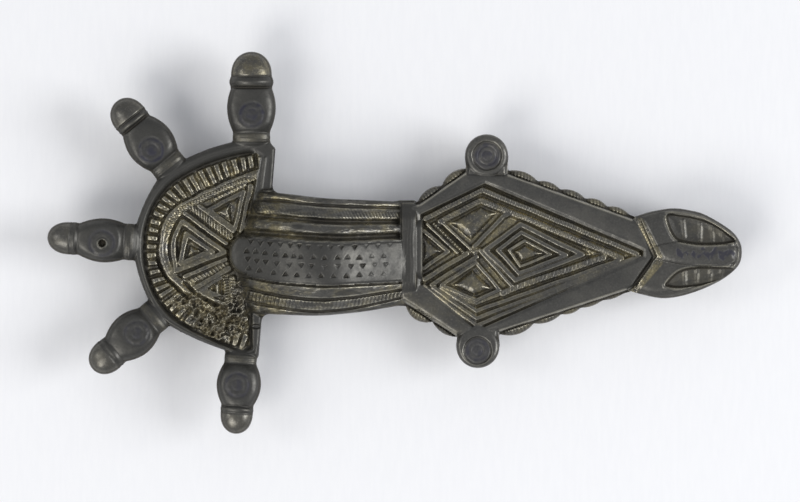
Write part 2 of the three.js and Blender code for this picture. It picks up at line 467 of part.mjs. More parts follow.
const PIN_ROOT = [AXLE.x + 1.3, PIN_Y, AXLE.z - COIL_R + 0.01];
const pinLength = Math.hypot(PIN_TIP_X - PIN_ROOT[0], PIN_TIP_Z - PIN_ROOT[2]);
const pin = new THREE.LatheGeometry([
  [0, 0], [WIRE_R - 0.12, 0.02], [WIRE_R, 0.25], [WIRE_R, 6], [0.5, 30], [0.42, pinLength - 9], [0.3, pinLength - 3.5], [0.1, pinLength - 0.25], [0, pinLength],
].map(([r, t]) => new THREE.Vector2(r, t)), 12);
pin.rotateZ(-Math.PI / 2);
pin.rotateY(-Math.atan2(PIN_TIP_Z - PIN_ROOT[2], PIN_TIP_X - PIN_ROOT[0]));
pin.translate(...PIN_ROOT);

// ---------------------------------------------------------------- the object
const silver = new THREE.MeshStandardMaterial({ color: 0x6f6c64, roughness: 0.45, metalness: 0.85 });
const iron = new THREE.MeshStandardMaterial({ color: 0x5a4636, roughness: 0.8, metalness: 0.5 });
const bronze = new THREE.MeshStandardMaterial({ color: 0x6b5f42, roughness: 0.55, metalness: 0.8 });

const part = new THREE.Group();
function add(name, geometry, material) {
  const mesh = new THREE.Mesh(geometry, material);
  mesh.name = name;
  part.add(mesh);
}
add('brooch_body', geometryOf(body), silver);
add('spring_axle', geometryOf(solid(axle)), iron);
add('spring_coil', geometryOf(solid(coil)), bronze);
add('pin', geometryOf(solid(pin)), bronze);

export default part;
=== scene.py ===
import bpy, math
import numpy as np
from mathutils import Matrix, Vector
from mathutils.geometry import delaunay_2d_cdt


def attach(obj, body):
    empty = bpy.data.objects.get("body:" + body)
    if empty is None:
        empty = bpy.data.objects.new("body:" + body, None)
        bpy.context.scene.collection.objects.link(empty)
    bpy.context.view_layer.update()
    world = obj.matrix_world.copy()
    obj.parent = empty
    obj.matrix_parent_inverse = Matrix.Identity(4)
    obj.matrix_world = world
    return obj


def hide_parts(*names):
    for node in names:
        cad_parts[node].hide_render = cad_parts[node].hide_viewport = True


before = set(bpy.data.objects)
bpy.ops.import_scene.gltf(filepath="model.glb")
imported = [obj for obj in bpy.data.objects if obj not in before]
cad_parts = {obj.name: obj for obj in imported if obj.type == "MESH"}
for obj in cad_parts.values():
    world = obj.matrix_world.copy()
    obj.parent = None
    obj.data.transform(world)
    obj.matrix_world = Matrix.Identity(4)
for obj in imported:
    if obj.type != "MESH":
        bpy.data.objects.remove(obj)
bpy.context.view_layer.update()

# Everything below is worked out in millimetres in the CAD frame, and turned into metres when a mesh is made.
MM = 0.001
PX = 0.14388                      # millimetres to a pixel of the photograph


def P(*points):
    """Points given by their place in the photograph, in millimetres."""
    return [((a - 394.5) * PX, (243.0 - b) * PX) for a, b in points]


def lerp(a, b, t):
    return a + (b - a) * t


def smooth(a, b, v):
    t = np.clip((v - a) / (b - a), 0.0, 1.0)
    return t * t * (3 - 2 * t)


def smin(a, b, k):
    h = np.clip(0.5 + 0.5 * (b - a) / k, 0, 1)
    return lerp(b, a, h) - k * h * (1 - h)


def smax(a, b, k):
    return -smin(-a, -b, k)


# ------------------------------------------------------------------ noise
TABLES = [np.random.RandomState(71 + i).rand(256, 256) * 2 - 1 for i in range(6)]


def noise(x, y, scale, seed=0):
    u, v = x / scale + 137.3, y / scale + 91.7
    i, j = np.floor(u).astype(int), np.floor(v).astype(int)
    a, b = u - i, v - j
    a, b = a * a * (3 - 2 * a), b * b * (3 - 2 * b)
    t = TABLES[seed % 6]
    i0, i1, j0, j1 = i & 255, (i + 1) & 255, j & 255, (j + 1) & 255
    return lerp(lerp(t[i0, j0], t[i1, j0], a), lerp(t[i0, j1], t[i1, j1], a), b)


def fbm(x, y, scale, seed=0, octaves=3):
    out, amp = 0.0, 1.0
    for o in range(octaves):
        out = out + amp * noise(x + 3.1 * o, y - 5.7 * o, scale / 2 ** o, seed + o)
        amp *= 0.55
    return out


# ------------------------------------------------------------------ plan geometry
def poly_sd(x, y, pts):
    """Signed distance to a closed outline, negative inside."""
    best = np.full(x.shape, 1e9)
    inside = np.zeros(x.shape, bool)
    for i in range(len(pts)):
        (ax, ay), (bx, by) = pts[i], pts[(i + 1) % len(pts)]
        dx, dy = bx - ax, by - ay
        t = np.clip(((x - ax) * dx + (y - ay) * dy) / (dx * dx + dy * dy + 1e-12), 0, 1)
        best = np.minimum(best, (x - ax - t * dx) ** 2 + (y - ay - t * dy) ** 2)
        if ay != by:
            c = ((ay > y) != (by > y)) & (x < (bx - ax) * (y - ay) / (by - ay) + ax)
            inside ^= c
    d = np.sqrt(best)
    return np.where(inside, -d, d)


def line_coords(x, y, pts):
    """(distance, positive to the left of the way along, distance along) to an open line."""
    best = np.full(x.shape, 1e9)
    side = np.ones(x.shape)
    along = np.zeros(x.shape)
    run = 0.0
    for (ax, ay), (bx, by) in zip(pts[:-1], pts[1:]):
        dx, dy = bx - ax, by - ay
        L = math.hypot(dx, dy)
        t = np.clip(((x - ax) * dx + (y - ay) * dy) / (L * L), 0, 1)
        d = (x - ax - t * dx) ** 2 + (y - ay - t * dy) ** 2
        m = d < best
        best = np.where(m, d, best)
        side = np.where(m, np.sign(dx * (y - ay) - dy * (x - ax)), side)
        along = np.where(m, run + t * L, along)
        run += L
    return np.sqrt(best) * np.where(side == 0, 1, side), along


def spline(pts, per=5, closed=False):
    """A smooth line through points (Catmull-Rom)."""
    n = len(pts)
    out = []
    last = n if closed else n - 1
    for i in range(last):
        if closed:
            p0, p1, p2, p3 = (pts[(i + k - 1) % n] for k in range(4))
        else:
            p0, p1, p2, p3 = pts[max(i - 1, 0)], pts[i], pts[i + 1], pts[min(i + 2, n - 1)]
        for k in range(per):
            t = k / per
            out.append(tuple(0.5 * (2 * b + (c - a) * t + (2 * a - 5 * b + 4 * c - d) * t * t + (3 * b - a - 3 * c + d) * t ** 3)
                             for a, b, c, d in zip(p0, p1, p2, p3)))
    if not closed:
        out.append(tuple(pts[-1]))
    return out


def read(rows, s):
    return np.interp(s, [r[0] for r in rows], [r[1] for r in rows])


# ------------------------------------------------------------------ dimensions, as in the CAD
BACK_Z, HEAD_TOP, HEAD_FLOOR, FOOT_TOP, FOOT_FLOOR = 4.7, 7.3, 6.25, 7.7, 6.55
HEAD_C = (-21.3, -0.8)
BOW_X0, BOW_X1, BOW_Z0, BOW_RISE, BOW_THICK = -23.8, 2.6, 8.0, 6.6, 2.2
KNOB_Z, KNOB_FLAT, KNOB_FACET = 6.75, 0.86, 1.95
TERMINAL_TOP = 8.3
ROUNDELS = [(13.25, 12.55), (12.0, -14.9)]
ROUNDEL_R = 3.1

SIDES = [(-18.0, 14.55), (-23.2, 14.6), (-30.0, 12.2), (-34.2, 9.1), (-37.1, 3.0), (-37.45, -2.2), (-35.4, -8.3), (-32.6, -11.8),
         (-24.6, -15.4), (-19.6, -16.5)]
head_outline = []
for (ax, ay), (bx, by) in zip(SIDES[:-1], SIDES[1:]):
    L = math.hypot(bx - ax, by - ay)
    for k in range(6):
        t = k / 6
        w = 0.22 * math.sin(math.pi * t)
        head_outline.append((lerp(ax, bx, t) + (by - ay) / L * w, lerp(ay, by, t) - (bx - ax) / L * w))
head_outline += [SIDES[-1], (-17.15, 13.6)]

KNOBS = [
    dict(base=(-37.3, 0.1), angle=176.5, L=12.7, collar=2.6, body=3.3, ring=2.4, dome=2.34, eye=P((102.3, 243.3))[0], wear=0.3, ring_deep=0.35, soft=0.3),
    dict(base=(-32.1, 10.6), angle=129, L=12.6, collar=2.5, body=3.55, ring=2.6, dome=2.6, eye=P((151.4, 150.2))[0], wear=0.0, soft=0.9),
    dict(base=(-20.6, 14.3), angle=90, L=13.25, collar=2.66, body=3.68, ring=3.2, dome=2.95, eye=P((252, 115))[0], wear=0.0, g0=0.612, g1=0.728, soft=1.3),
    dict(base=(-34.1, -10.2), angle=220, L=12.3, collar=2.4, body=3.42, ring=2.45, dome=2.45, eye=P((137, 333))[0], wear=0.85, ring_deep=0.14, soft=0.7),
    dict(base=(-22.1, -15.9), angle=265.9, L=11.6, collar=2.3, body=3.32, ring=2.42, dome=2.33, eye=P((237.5, 385))[0], wear=0.6, ring_deep=0.5, soft=0.7),
]


def knob_local(k, x, y):
    a = math.radians(k["angle"])
    dx, dy = x - k["base"][0], y - k["base"][1]
    return dx * math.cos(a) + dy * math.sin(a), -dx * math.sin(a) + dy * math.cos(a)


def knob_half(k, t):
    L, c, b, r, d = k["L"], k["collar"], k["body"], k["ring"], k["dome"]
    e0, e1, e2 = 0.12 * L, k.get("g0", 0.655) * L, k.get("g1", 0.735) * L
    s = np.clip((t - e0) / (e1 - e0), 0, 1)
    body = lerp(c * 0.97, r * 0.9, s) + (b - lerp(c, r, 0.5)) * np.sin(np.pi * s) ** 0.85 * 1.04
    ring = r * (0.92 + 0.08 * np.sin(np.pi * np.clip((t - e1) / (e2 - e1), 0, 1)))
    u = np.clip((t - e2) / (L - e2), 0, 1)
    dome = d * np.sqrt(np.maximum(0, 1 - u ** 2.4))
    collar = c * (1 + 0.02 * np.sin(np.pi * np.clip(t / e0, 0, 1)))
    out = np.where(t < e0, collar, np.where(t < e1, body, np.where(t < e2, ring, dome)))
    return out


def knob_sd(k, x, y):
    t, s = knob_local(k, x, y)
    L, d = k["L"], k["dome"]
    e2 = k.get("g1", 0.735) * L
    # a softened half-width, so that the notches are rounded
    w = sum(knob_half(k, np.clip(t + o, -2, e2)) for o in (-0.3, -0.15, 0, 0.15, 0.3)) / 5
    side = np.maximum(np.abs(s) - w, -1.6 - t)
    u = np.maximum((t - e2) / (L - e2), 0)
    dome = (np.sqrt((s / d) ** 2 + u ** 2.4 + 1e-9) - 1) * d
    return np.where(t < e2 - 0.01, side, dome)


FOOT_OUTLINE = [(0.8, -8.1), (8.85, -13.3), (15.3, -13.1), (34.2, -6.9), (37.6, -1.9), (35.2, 3.6), (16.3, 10.5), (10.3, 10.7), (3.2, 5.8), (0.9, 5.6)]
LOBES = []
for row, bulge in ((((630, 215.3), (607.5, 206.6), (585.5, 198.8), (560.5, 189.6), (538, 181.3), (509, 170.5)), (3.6, 3.7, 3.8, 3.6, 4.2)),
                   (((467, 168.5), (442, 185.8), (418, 201.5)), (5.4, 4.9)),
                   (((405.5, 303), (432.5, 321.8), (456, 337)), (8.0, 4.0)),
                   (((500.5, 334.5), (534, 323.6), (561.5, 314.3), (581, 307.8), (603, 299.8), (624, 292.8)), (5.4, 3.5, 2.6, 2.4, 2.4))):
    row = P(*row)
    for (ax, ay), (bx, by), deep in zip(row[:-1], row[1:], bulge):
        chord, deep = math.hypot(bx - ax, by - ay), deep * PX
        R = chord * chord / (8 * deep) + deep / 2
        # the outside of the plate is on the right of the way along
        nx0, ny0 = (by - ay) / chord, -(bx - ax) / chord
        LOBES.append(((ax + bx) / 2 - nx0 * (R - deep), (ay + by) / 2 - ny0 * (R - deep), R, nx0, ny0, chord))
FOOT_EDGE = P((400.1, 299.3), (456, 336.2), (500.8, 331.2), (634, 287.6), (655.8, 256.2), (641, 222.3), (508.5, 174.3), (465.5, 172.6), (419.4, 204.6), (400.8, 206))
TERMINAL = spline([(34.3, -7.05), (38.4, -7.95), (42.2, -7.4), (46.6, -5.6), (49.4, -3.4), (50.0, -1.3), (49.6, 0.4), (48.2, 2.0), (44.9, 4.0),
                   (42.6, 4.7), (39.9, 5.0), (36.6, 4.45), (34.8, 3.8)], per=6)

UPPER_Y = [(-23.8, 7.6), (-16.5, 7.2), (-10, 6.4), (2.6, 5.9)]
LOWER_Y = [(-23.8, -9.9), (-18.8, -10.2), (-10.9, -10.5), (-4.8, -9.95), (2.6, -8.7)]
BAND_UP = [(-23.8, 1.1), (-13.5, 0.25), (-7.4, 0.0), (2.6, 0.55)]
BAND_LO = [(-23.8, -4.3), (-17, -5.7), (-10, -6.2), (2.6, -5.6)]


def soft_table(rows):
    """The same table with its corners eased, so that edges run smoothly."""
    xs = np.linspace(rows[0][0], rows[-1][0], 60)
    ys = read(rows, xs)
    pad = np.concatenate([2 * ys[0] - ys[8:0:-1], ys, 2 * ys[-1] - ys[-2:-10:-1]])
    k = np.hanning(15); k /= k.sum()
    ys = np.convolve(pad, k, "same")[8:-8]
    return list(zip(xs, ys))


UPPER_Y, LOWER_Y, BAND_UP, BAND_LO = map(soft_table, (UPPER_Y, LOWER_Y, BAND_UP, BAND_LO))


def bow_sd(x, y):
    up, lo = read(UPPER_Y, x), read(LOWER_Y, x)
    side = np.maximum(y - up, lo - y)
    return np.maximum(side, np.maximum(-21.9 - x, x - 2.6))


def box_sd(x, y, x0, x1, y0, y1):
    dx, dy = np.maximum(x0 - x, x - x1), np.maximum(y0 - y, y - y1)
    return np.where((dx > 0) & (dy > 0), np.hypot(dx, dy), np.maximum(dx, dy))


def part_sd(name, x, y):
    if name == "head":
        return poly_sd(x, y, head_outline)
    if name == "foot":
        return poly_sd(x, y, FOOT_OUTLINE)
    if name == "terminal":
        return poly_sd(x, y, TERMINAL)
    if name == "bow":
        return bow_sd(x, y)
    if name == "bar":
        return box_sd(x, y, 0.85, 3.1, -8.0, 5.75)
    if name == "neck0":
        return box_sd(x, y, 10.3, 16.3, 9.5, 12.4)
    if name == "neck1":
        return box_sd(x, y, 9.05, 15.05, -14.8, -12)
    if name[:4] == "knob":
        return knob_sd(KNOBS[int(name[4:])], x, y)
    if name[:4] == "disc":
        c = ROUNDELS[int(name[4:])]
        return np.hypot(x - c[0], y - c[1]) - ROUNDEL_R
    if name[:4] == "lobe":
        c = LOBES[int(name[4:])]
        return np.maximum(np.hypot(x - c[0], y - c[1]) - c[2], -((x - c[0]) * c[3] + (y - c[1]) * c[4]) + c[2] - 1.6)
    raise KeyError(name)


BOXES = {"head": (-37.8, -17, -16.7, 14.8), "foot": (0.7, 37.7, -13.4, 10.8), "terminal": (34.7, 50.1, -8.0, 5.1), "bow": (-21.9, 2.6, -10.7, 7.6),
         "bar": (0.8, 3.2, -8.2, 5.9), "neck0": (10, 16.6, 9, 12.5), "neck1": (9, 15.2, -14.9, -11.9)}
for i, k in enumerate(KNOBS):
    a = math.radians(k["angle"])
    e = (k["base"][0] + k["L"] * math.cos(a), k["base"][1] + k["L"] * math.sin(a))
    BOXES[f"knob{i}"] = (min(k["base"][0], e[0]) - 3.8, max(k["base"][0], e[0]) + 3.8, min(k["base"][1], e[1]) - 3.8, max(k["base"][1], e[1]) + 3.8)
for i, c in enumerate(ROUNDELS):
    BOXES[f"disc{i}"] = (c[0] - 3.1, c[0] + 3.1, c[1] - 3.1, c[1] + 3.1)
for i, c in enumerate(LOBES):
    mx, my = c[0] + c[3] * (c[2] - 0.8), c[1] + c[4] * (c[2] - 0.8)
    BOXES[f"lobe{i}"] = (mx - 2.6, mx + 2.6, my - 2.6, my + 2.6)
PARTS = list(BOXES)
FILLET = {"head": 0.3, "bow": 1.3, "bar": 0.3, "foot": 0.5, "terminal": 0.35}


def silhouette(x, y, parts=None):
    """Outline of the whole casting in plan: negative inside."""
    out = np.full(x.shape, 3.0)
    for name in parts or PARTS:
        b = BOXES[name]
        m = (x > b[0] - 2) & (x < b[1] + 2) & (y > b[2] - 2) & (y < b[3] + 2)
        if not m.any():
            continue
        out[m] = smin(out[m], part_sd(name, x[m], y[m]), FILLET.get(name, 0.12 if name[:4] == "lobe" else 0.3))
    return out


# ------------------------------------------------------------------ relief of the face
class Relief:
    """Heights over a floor, gathered feature by feature on a set of points."""

    def __init__(self, x, y):
        self.x, self.y = x, y
        self.h = np.zeros(x.shape)
        self.gilt_and_sheen = np.zeros(x.shape)

    def near(self, pts, pad):
        xs, ys = [p[0] for p in pts], [p[1] for p in pts]
        return np.nonzero((self.x > min(xs) - pad) & (self.x < max(xs) + pad) & (self.y > min(ys) - pad) & (self.y < max(ys) + pad))[0]

    def ridge(self, pts, width, height, hatch=0.0, pitch=0.62, slant=0.3, flat=0.34):
        width = width * 1.44
        i = self.near(pts, width)
        d, s = line_coords(self.x[i], self.y[i], pts)
        q = np.clip((1 - np.abs(d) / (width / 2)) / (1 - flat), 0, 1)
        # a convex crest over easy flanks
        p = lerp(q * q * (3 - 2 * q), np.sin(q * np.pi / 2), 0.6)
        if hatch:
            p = p * (1 - hatch * (0.5 + 0.5 * np.sin(2 * np.pi * (s + slant * d) / pitch)))
        self.h[i] = np.maximum(self.h[i], height * p)

    def groove(self, pts, width, depth):
        i = self.near(pts, width)
        d, _ = line_coords(self.x[i], self.y[i], pts)
        q = np.clip(1 - np.abs(d) / (width / 2), 0, 1)
        self.h[i] -= depth * q * q * (3 - 2 * q)

    def loop(self, pts, width, height, **more):
        self.ridge(list(pts) + [pts[0]], width, height, **more)

    def plateau(self, pts, height, slope, top=None):
        i = self.near(pts, 0.1)
        d = np.maximum(-poly_sd(self.x[i], self.y[i], pts), 0)
        t = np.clip(d * slope * 0.75 / height, 0, 1)
        self.h[i] = np.maximum(self.h[i], height * t * (2 - t))
        # painted highlight: gilt colour over the plateau top, so that it shows bright
        self.gilt_and_sheen[i] = np.maximum(self.gilt_and_sheen[i], 0.55 * smooth(0.2, 0.7, t))


A0 = spline(P((246, 352), (232, 347), (217, 341), (200, 333), (184, 324), (170, 313), (160, 301), (153, 289), (148.5, 276), (145.6, 262), (144.8, 246), (146.6, 229), (152, 211.5),
              (160.5, 197), (172, 185), (187, 175.5), (205, 166.5), (222, 160.5), (240, 156), (262, 152)), per=3)
A1 = spline(P((250, 334), (238, 329), (222, 320.5), (206, 311), (192, 301.5), (180, 291), (170, 281), (163, 271), (158.8, 261), (157.8, 249), (158.4, 238), (161.5, 224.5), (167, 213.5),
              (177, 204.5), (190, 197.5), (205, 189.5), (222, 181.5), (240, 174.5), (260, 167)), per=3)
A2 = spline(P((187, 289), (181, 284.5), (173, 276), (166, 267.5), (162, 258.5), (161, 248), (161.8, 238), (165, 227), (170.5, 217), (180, 208), (192, 201), (208, 193), (225, 184.8), (243, 178)), per=3)
A3 = spline(P((189, 281), (181, 277), (174.5, 268.5), (170.4, 259), (169.6, 249.5), (170.6, 240), (173, 229.5), (178, 220), (184.5, 213), (195.5, 206.5), (210, 199.5), (226, 191.8), (244, 184.5)), per=3)
HEAD_FIELD = [p for p in A0][1:-1] + P((261, 156), (257.5, 176), (252, 205), (246, 229), (238, 240), (236, 250), (237, 266), (243, 280), (248, 297), (249.5, 315), (250, 346))


def head_relief(x, y):
    """(height over the floor of the field, share that is eaten away)"""
    x, y = x + 0.09 * noise(x, y, 1.7, 11) + 0.02 * noise(x, y, 0.5, 12), y + 0.09 * noise(x, y, 1.7, 13) + 0.02 * noise(x, y, 0.5, 14)
    r = Relief(x, y)
    d0, s0 = line_coords(x, y, A0)       # the lines run clockwise round the head, so inside is to the right
    d1, s1 = line_coords(x, y, A1)
    v0, v1 = -d0, d1
    # ribs: chunky wedges, broad at the rim
    pitch = 1.31
    n = np.floor(s0 / pitch)
    jitter = TABLES[0][(n.astype(int) * 7) & 255, 3]
    amp = 0.92 + 0.16 * TABLES[1][(n.astype(int) * 13) & 255, 5]
    lean = 0.10 * TABLES[2][(n.astype(int) * 3) & 255, 9]
    span = np.clip(v0 / np.maximum(v0 + v1, 1e-3), 0, 1)
    ph = s0 / pitch - n - 0.5 + 0.16 * jitter + lean * (span - 0.5)
    q = np.clip((1 - np.abs(ph) / (0.50 - 0.06 * span)) / 0.66, 0, 1)
    wedge = lerp(q * q * (3 - 2 * q), np.sin(q * np.pi / 2), 0.5)
    along = 0.25 + 0.75 * np.sin(np.pi * np.clip(span * 0.92 + 0.08, 0, 1)) ** 0.55
    along = along * (1 - 0.22 * np.exp(-((span - 0.62) / 0.10) ** 2) * (0.5 + 0.5 * jitter))
    band = smooth(0.0, 0.22, v0) * smooth(-0.02, 0.24, v1)
    r.h = np.maximum(r.h, 1.12 * wedge * amp * along * band)
    # the broad band inside the ribs, its crest near the ribs
    i = r.near(A3, 2.2)
    dd1, ss1 = line_coords(x[i], y[i], A1)
    dd3, _ = line_coords(x[i], y[i], A3)
    u = np.clip(-dd1 / np.maximum(-dd1 + dd3, 1e-3), 0, 1)
    inside = smooth(0.02, 0.16, -dd1) * smooth(0.02, 0.16, dd3)
    hat = 0.5 + 0.5 * np.sin(2 * np.pi * (ss1 + 0.5 * dd1) / 0.46)
    upper = smooth(0.5, 2.6, y[i])
    prof = np.sin(np.pi * u ** 0.75) ** 0.55
    prof = prof * (1 - 0.30 * hat * upper * smooth(0.25, 0.45, u) * smooth(1.0, 0.8, u)) - 0.22 * np.exp(-((u - 0.52) / 0.10) ** 2)
    r.h[i] = np.maximum(r.h[i], 1.02 * np.clip(prof, 0, 1) * inside)
    # nested triangles at the middle
    r.ridge(spline(P((182.0, 221.5), (177.2, 231), (173.8, 241), (173.0, 253), (175.5, 269.5)), per=4), 0.82, 1.08)
    r.ridge(P((182.0, 221.5), (224.8, 252.5)), 0.95, 1.12)
    r.ridge(P((224.8, 252.5), (176.0, 270.8)), 0.92, 1.1)
    r.loop(P((186.2, 233.6), (212.2, 251.6), (180.0, 263.6)), 0.9, 1.08)
    r.plateau(P((189.8, 244.5), (204.2, 252.0), (186.8, 257.0)), 0.62, 1.5)
    # bands above and below it
    r.ridge(P((184, 213.0), (226.5, 243.5)), 0.72, 0.98)
    r.ridge(P((190.5, 207.5), (230, 237)), 1.0, 0.92, hatch=0.42, pitch=0.5, slant=0.8)
    r.ridge(P((199, 206.0), (233, 231)), 0.85, 1.02)
    r.ridge(P((185, 276.6), (226, 259.3)), 0.72, 1.05)
    r.ridge(P((187.5, 283.0), (227, 264.5)), 0.85, 0.85, hatch=0.4, pitch=0.55)
    r.ridge(P((194, 288.2), (229.0, 268.0)), 0.98, 1.1)
    # upper side triangle
    r.ridge(P((209, 209.5), (243.5, 191.5)), 0.85, 1.0)
    r.ridge(P((243.5, 191.5), (235, 229)), 0.85, 1.08)
    r.ridge(P((209, 209.5), (235, 229)), 0.7, 0.9)
    r.plateau(P((213.5, 212.0), (231.5, 202.5), (231, 222.5)), 1.2, 1.35)
    r.ridge(P((214.5, 199.5), (245, 184.8)), 0.62, 0.78, hatch=0.3, pitch=0.5)
    r.ridge(P((250.5, 186), (241.5, 231)), 0.85, 0.95)
    # lower side triangle
    r.ridge(P((199.5, 291), (221.5, 277.5)), 0.6, 0.85)
    r.ridge(P((199, 292), (223.5, 304.0)), 0.62, 0.95)
    r.plateau(P((203.5, 290.5), (213.5, 283.5), (214.5, 297)), 0.75, 1.4)
    r.plateau(P((212.5, 283.2), (221.5, 279.5), (220, 300), (215, 297.2)), 1.25, 1.9)
    # hatched stretch between it and the bow
    r.ridge(P((225.5, 276), (228.5, 322)), 0.95, 0.72, hatch=0.6, pitch=0.42, slant=0.2)
    r.ridge(P((232.5, 279), (236.5, 326)), 1.0, 0.82, hatch=0.5, pitch=0.46, slant=-0.3)
    r.ridge(P((240.5, 284), (246.5, 330)), 0.9, 0.75, hatch=0.4, pitch=0.7)
    # deep grooves where the casting is eaten away
    r.groove(spline(P((157.5, 260), (161.5, 270), (169, 281.5), (179.5, 291.5), (192, 301.5), (206, 310.5)), per=3), 0.62, 0.7)
    r.groove(P((184.5, 283), (196, 294.5), (210, 302), (228, 311.5)), 0.85, 1.0)
    # corroded corner
    cx, cy = P((220, 322))[0]
    e = np.hypot((x - cx) / 4.9, (y - cy) / 3.2)
    rough = smooth(1.2, 0.45, e)
    c1 = P((189, 302))[0]
    rough = np.maximum(rough, 0.9 * smooth(1.3, 0.4, np.hypot((x - c1[0]) / 2.9, (y - c1[1]) / 1.5)))
    c2 = P((240, 300))[0]
    rough = np.maximum(rough, 0.65 * smooth(1.2, 0.3, np.hypot((x - c2[0]) / 1.5, (y - c2[1]) / 3.6)))
    crumb = 1.08 * fbm(x * 0.8 + y * 0.6, (y * 0.8 - x * 0.6) * 1.5, 0.95, 2, 4) + 0.40 * noise(x, y, 0.36, 5)
    r.h = r.h * (1 - 0.55 * rough) + rough * (crumb + 0.32)
    i = r.near(P((207, 315), (212, 343)), 0.4)
    d, _ = line_coords(r.x[i], r.y[i], P((208.5, 317), (210.5, 327), (209, 335), (212, 343)))
    r.h[i] -= 0.7 * np.clip(1 - np.abs(d) / 0.24, 0, 1)
    return r.h, rough


FOOT_FIELD = P((420.4, 214.5), (484.6, 183.6), (643, 251), (643, 256.5), (476.6, 330.5), (420.6, 285))


def foot_relief(x, y):
    x, y = x + 0.06 * noise(x, y, 2.0, 15), y + 0.06 * noise(x, y, 2.0, 17)
    r = Relief(x, y)
    # outer frame, above
    r.ridge(P((425.5, 218.6), (482.3, 190.0), (637, 253.6)), 0.92, 1.08, hatch=0.09, pitch=0.40)
    r.ridge(P((440.5, 221.6), (480.8, 200.4), (621, 258.0)), 1.0, 1.0, hatch=0.16, pitch=0.40, slant=0.9)
    r.ridge(P((488, 203.4), (560, 233), (613, 254.8)), 0.62, 1.1, hatch=0.28, pitch=0.46, slant=0.9)
    # outer frame, below
    r.ridge(P((423.8, 286.6), (476.4, 325.4), (640, 256.6)), 0.76, 1.05)
    r.ridge(P((432.6, 286.8), (476.4, 318.4), (633, 258.4)), 0.74, 1.02)
    r.ridge(P((441.2, 287.2), (476.4, 311.0), (619, 260.4)), 0.74, 1.0)
    r.ridge(P((450.0, 288.6), (466, 299.6), (476.4, 303.4), (506, 291.6)), 0.6, 0.8)
    r.ridge(P((503, 293.0), (520, 285.6), (603, 258.0)), 1.1, 0.95, hatch=0.11, pitch=0.56, slant=-0.6)
    # row of beads, with a plain ridge at each side
    r.ridge(P((427.2, 224.2), (457.1, 252.6)), 0.56, 0.98)
    r.ridge(P((442.0, 222.6), (470.9, 249.4)), 0.56, 0.98)
    a, b = P((434.4, 224.4))[0], P((463.0, 252.4))[0]
    n = 12
    for k in range(n):
        c = (lerp(a[0], b[0], (k + 0.5) / n), lerp(a[1], b[1], (k + 0.5) / n))
        i = r.near([c], 0.36)
        d = np.hypot(x[i] - c[0], y[i] - c[1])
        r.h[i] = np.maximum(r.h[i], 1.48 * np.sqrt(np.clip(1 - (d / 0.31) ** 2, 0, 1)))
        # painted highlight: gilt colour on each bead, so that it shows bright
        r.gilt_and_sheen[i] = np.maximum(r.gilt_and_sheen[i], smooth(0.26, 0.18, d))
    r.ridge(P((434.4, 224.4), (463.0, 252.4)), 0.58, 0.96)
    # the crossed bands
    r.ridge(P((480.4, 250.2), (511.2, 285.4)), 0.74, 1.16)
    r.ridge(P((424.6, 279.4), (467, 253.4)), 0.9, 1.02)
    r.ridge(P((431.5, 285.0), (477, 256.6)), 0.78, 1.0)
    r.ridge(P((474.2, 246.4), (503.4, 216.4), (509, 214)), 0.8, 1.0)
    r.plateau(P((467.5, 251.5), (476, 244.5), (483.5, 249.5), (475.5, 258)), 1.0, 1.8)
    # arrowhead at the left
    r.ridge(P((423.2, 230.6), (447.6, 251.4)), 0.74, 1.12)
    r.ridge(P((447.6, 251.4), (423.4, 268.2)), 0.78, 1.02)
    r.plateau(P((421.0, 233.6), (442.6, 251.2), (421.0, 265.0)), 0.95, 1.15)
    # small lozenge above the crossing
    r.plateau(P((449.6, 223.0), (481.0, 205.8), (497.0, 213.2), (470.8, 240.2)), 1.12, 1.25)
    # small lozenge below it
    r.loop(P((441.6, 285.4), (475.8, 262.4), (499.4, 289.8), (476.4, 300.4)), 0.7, 1.12)
    r.plateau(P((451.5, 285.4), (472.4, 269.6), (491.5, 288.6), (473.4, 296.2)), 1.08, 1.3)
    # the large nested lozenge
    big = P((480.8, 248.8), (519.8, 220.4), (592, 254.6), (513.0, 284.2))
    r.loop(P((485.6, 249.8), (520.3, 224.6), (582.5, 254.8), (515.2, 280.2)), 0.92, 1.1)
    r.loop(P((498.0, 250.2), (521.4, 232.8), (566, 255.2), (518.8, 273.2)), 0.78, 1.12)
    r.loop(P((508.8, 250.6), (524.8, 240.8), (551, 254.0), (520.2, 266.4)), 0.52, 0.92)
    r.plateau(P((513.2, 251.6), (525.4, 244.6), (544.5, 253.4), (520.8, 262.4)), 1.02, 1.7)
    r.groove(big + [big[0]], 0.34, 0.3)
    return r.h, r.gilt_and_sheen


UPPER_LEAF = spline(P((666.5, 214.4), (681, 214.6), (700, 218.4), (716, 225.4), (728, 233.8), (736.0, 241.4), (720, 244.6), (702, 245.2), (686, 243.2), (675.5, 239.2), (668.3, 227)), per=4, closed=True)
LOWER_LEAF = spline(P((676.5, 272), (690, 267.4), (712, 266.6), (736, 268.2), (727, 277.6), (712, 283.2), (694, 286.8), (678, 288.2), (667.5, 286.8), (665.2, 283.5)), per=4, closed=True)


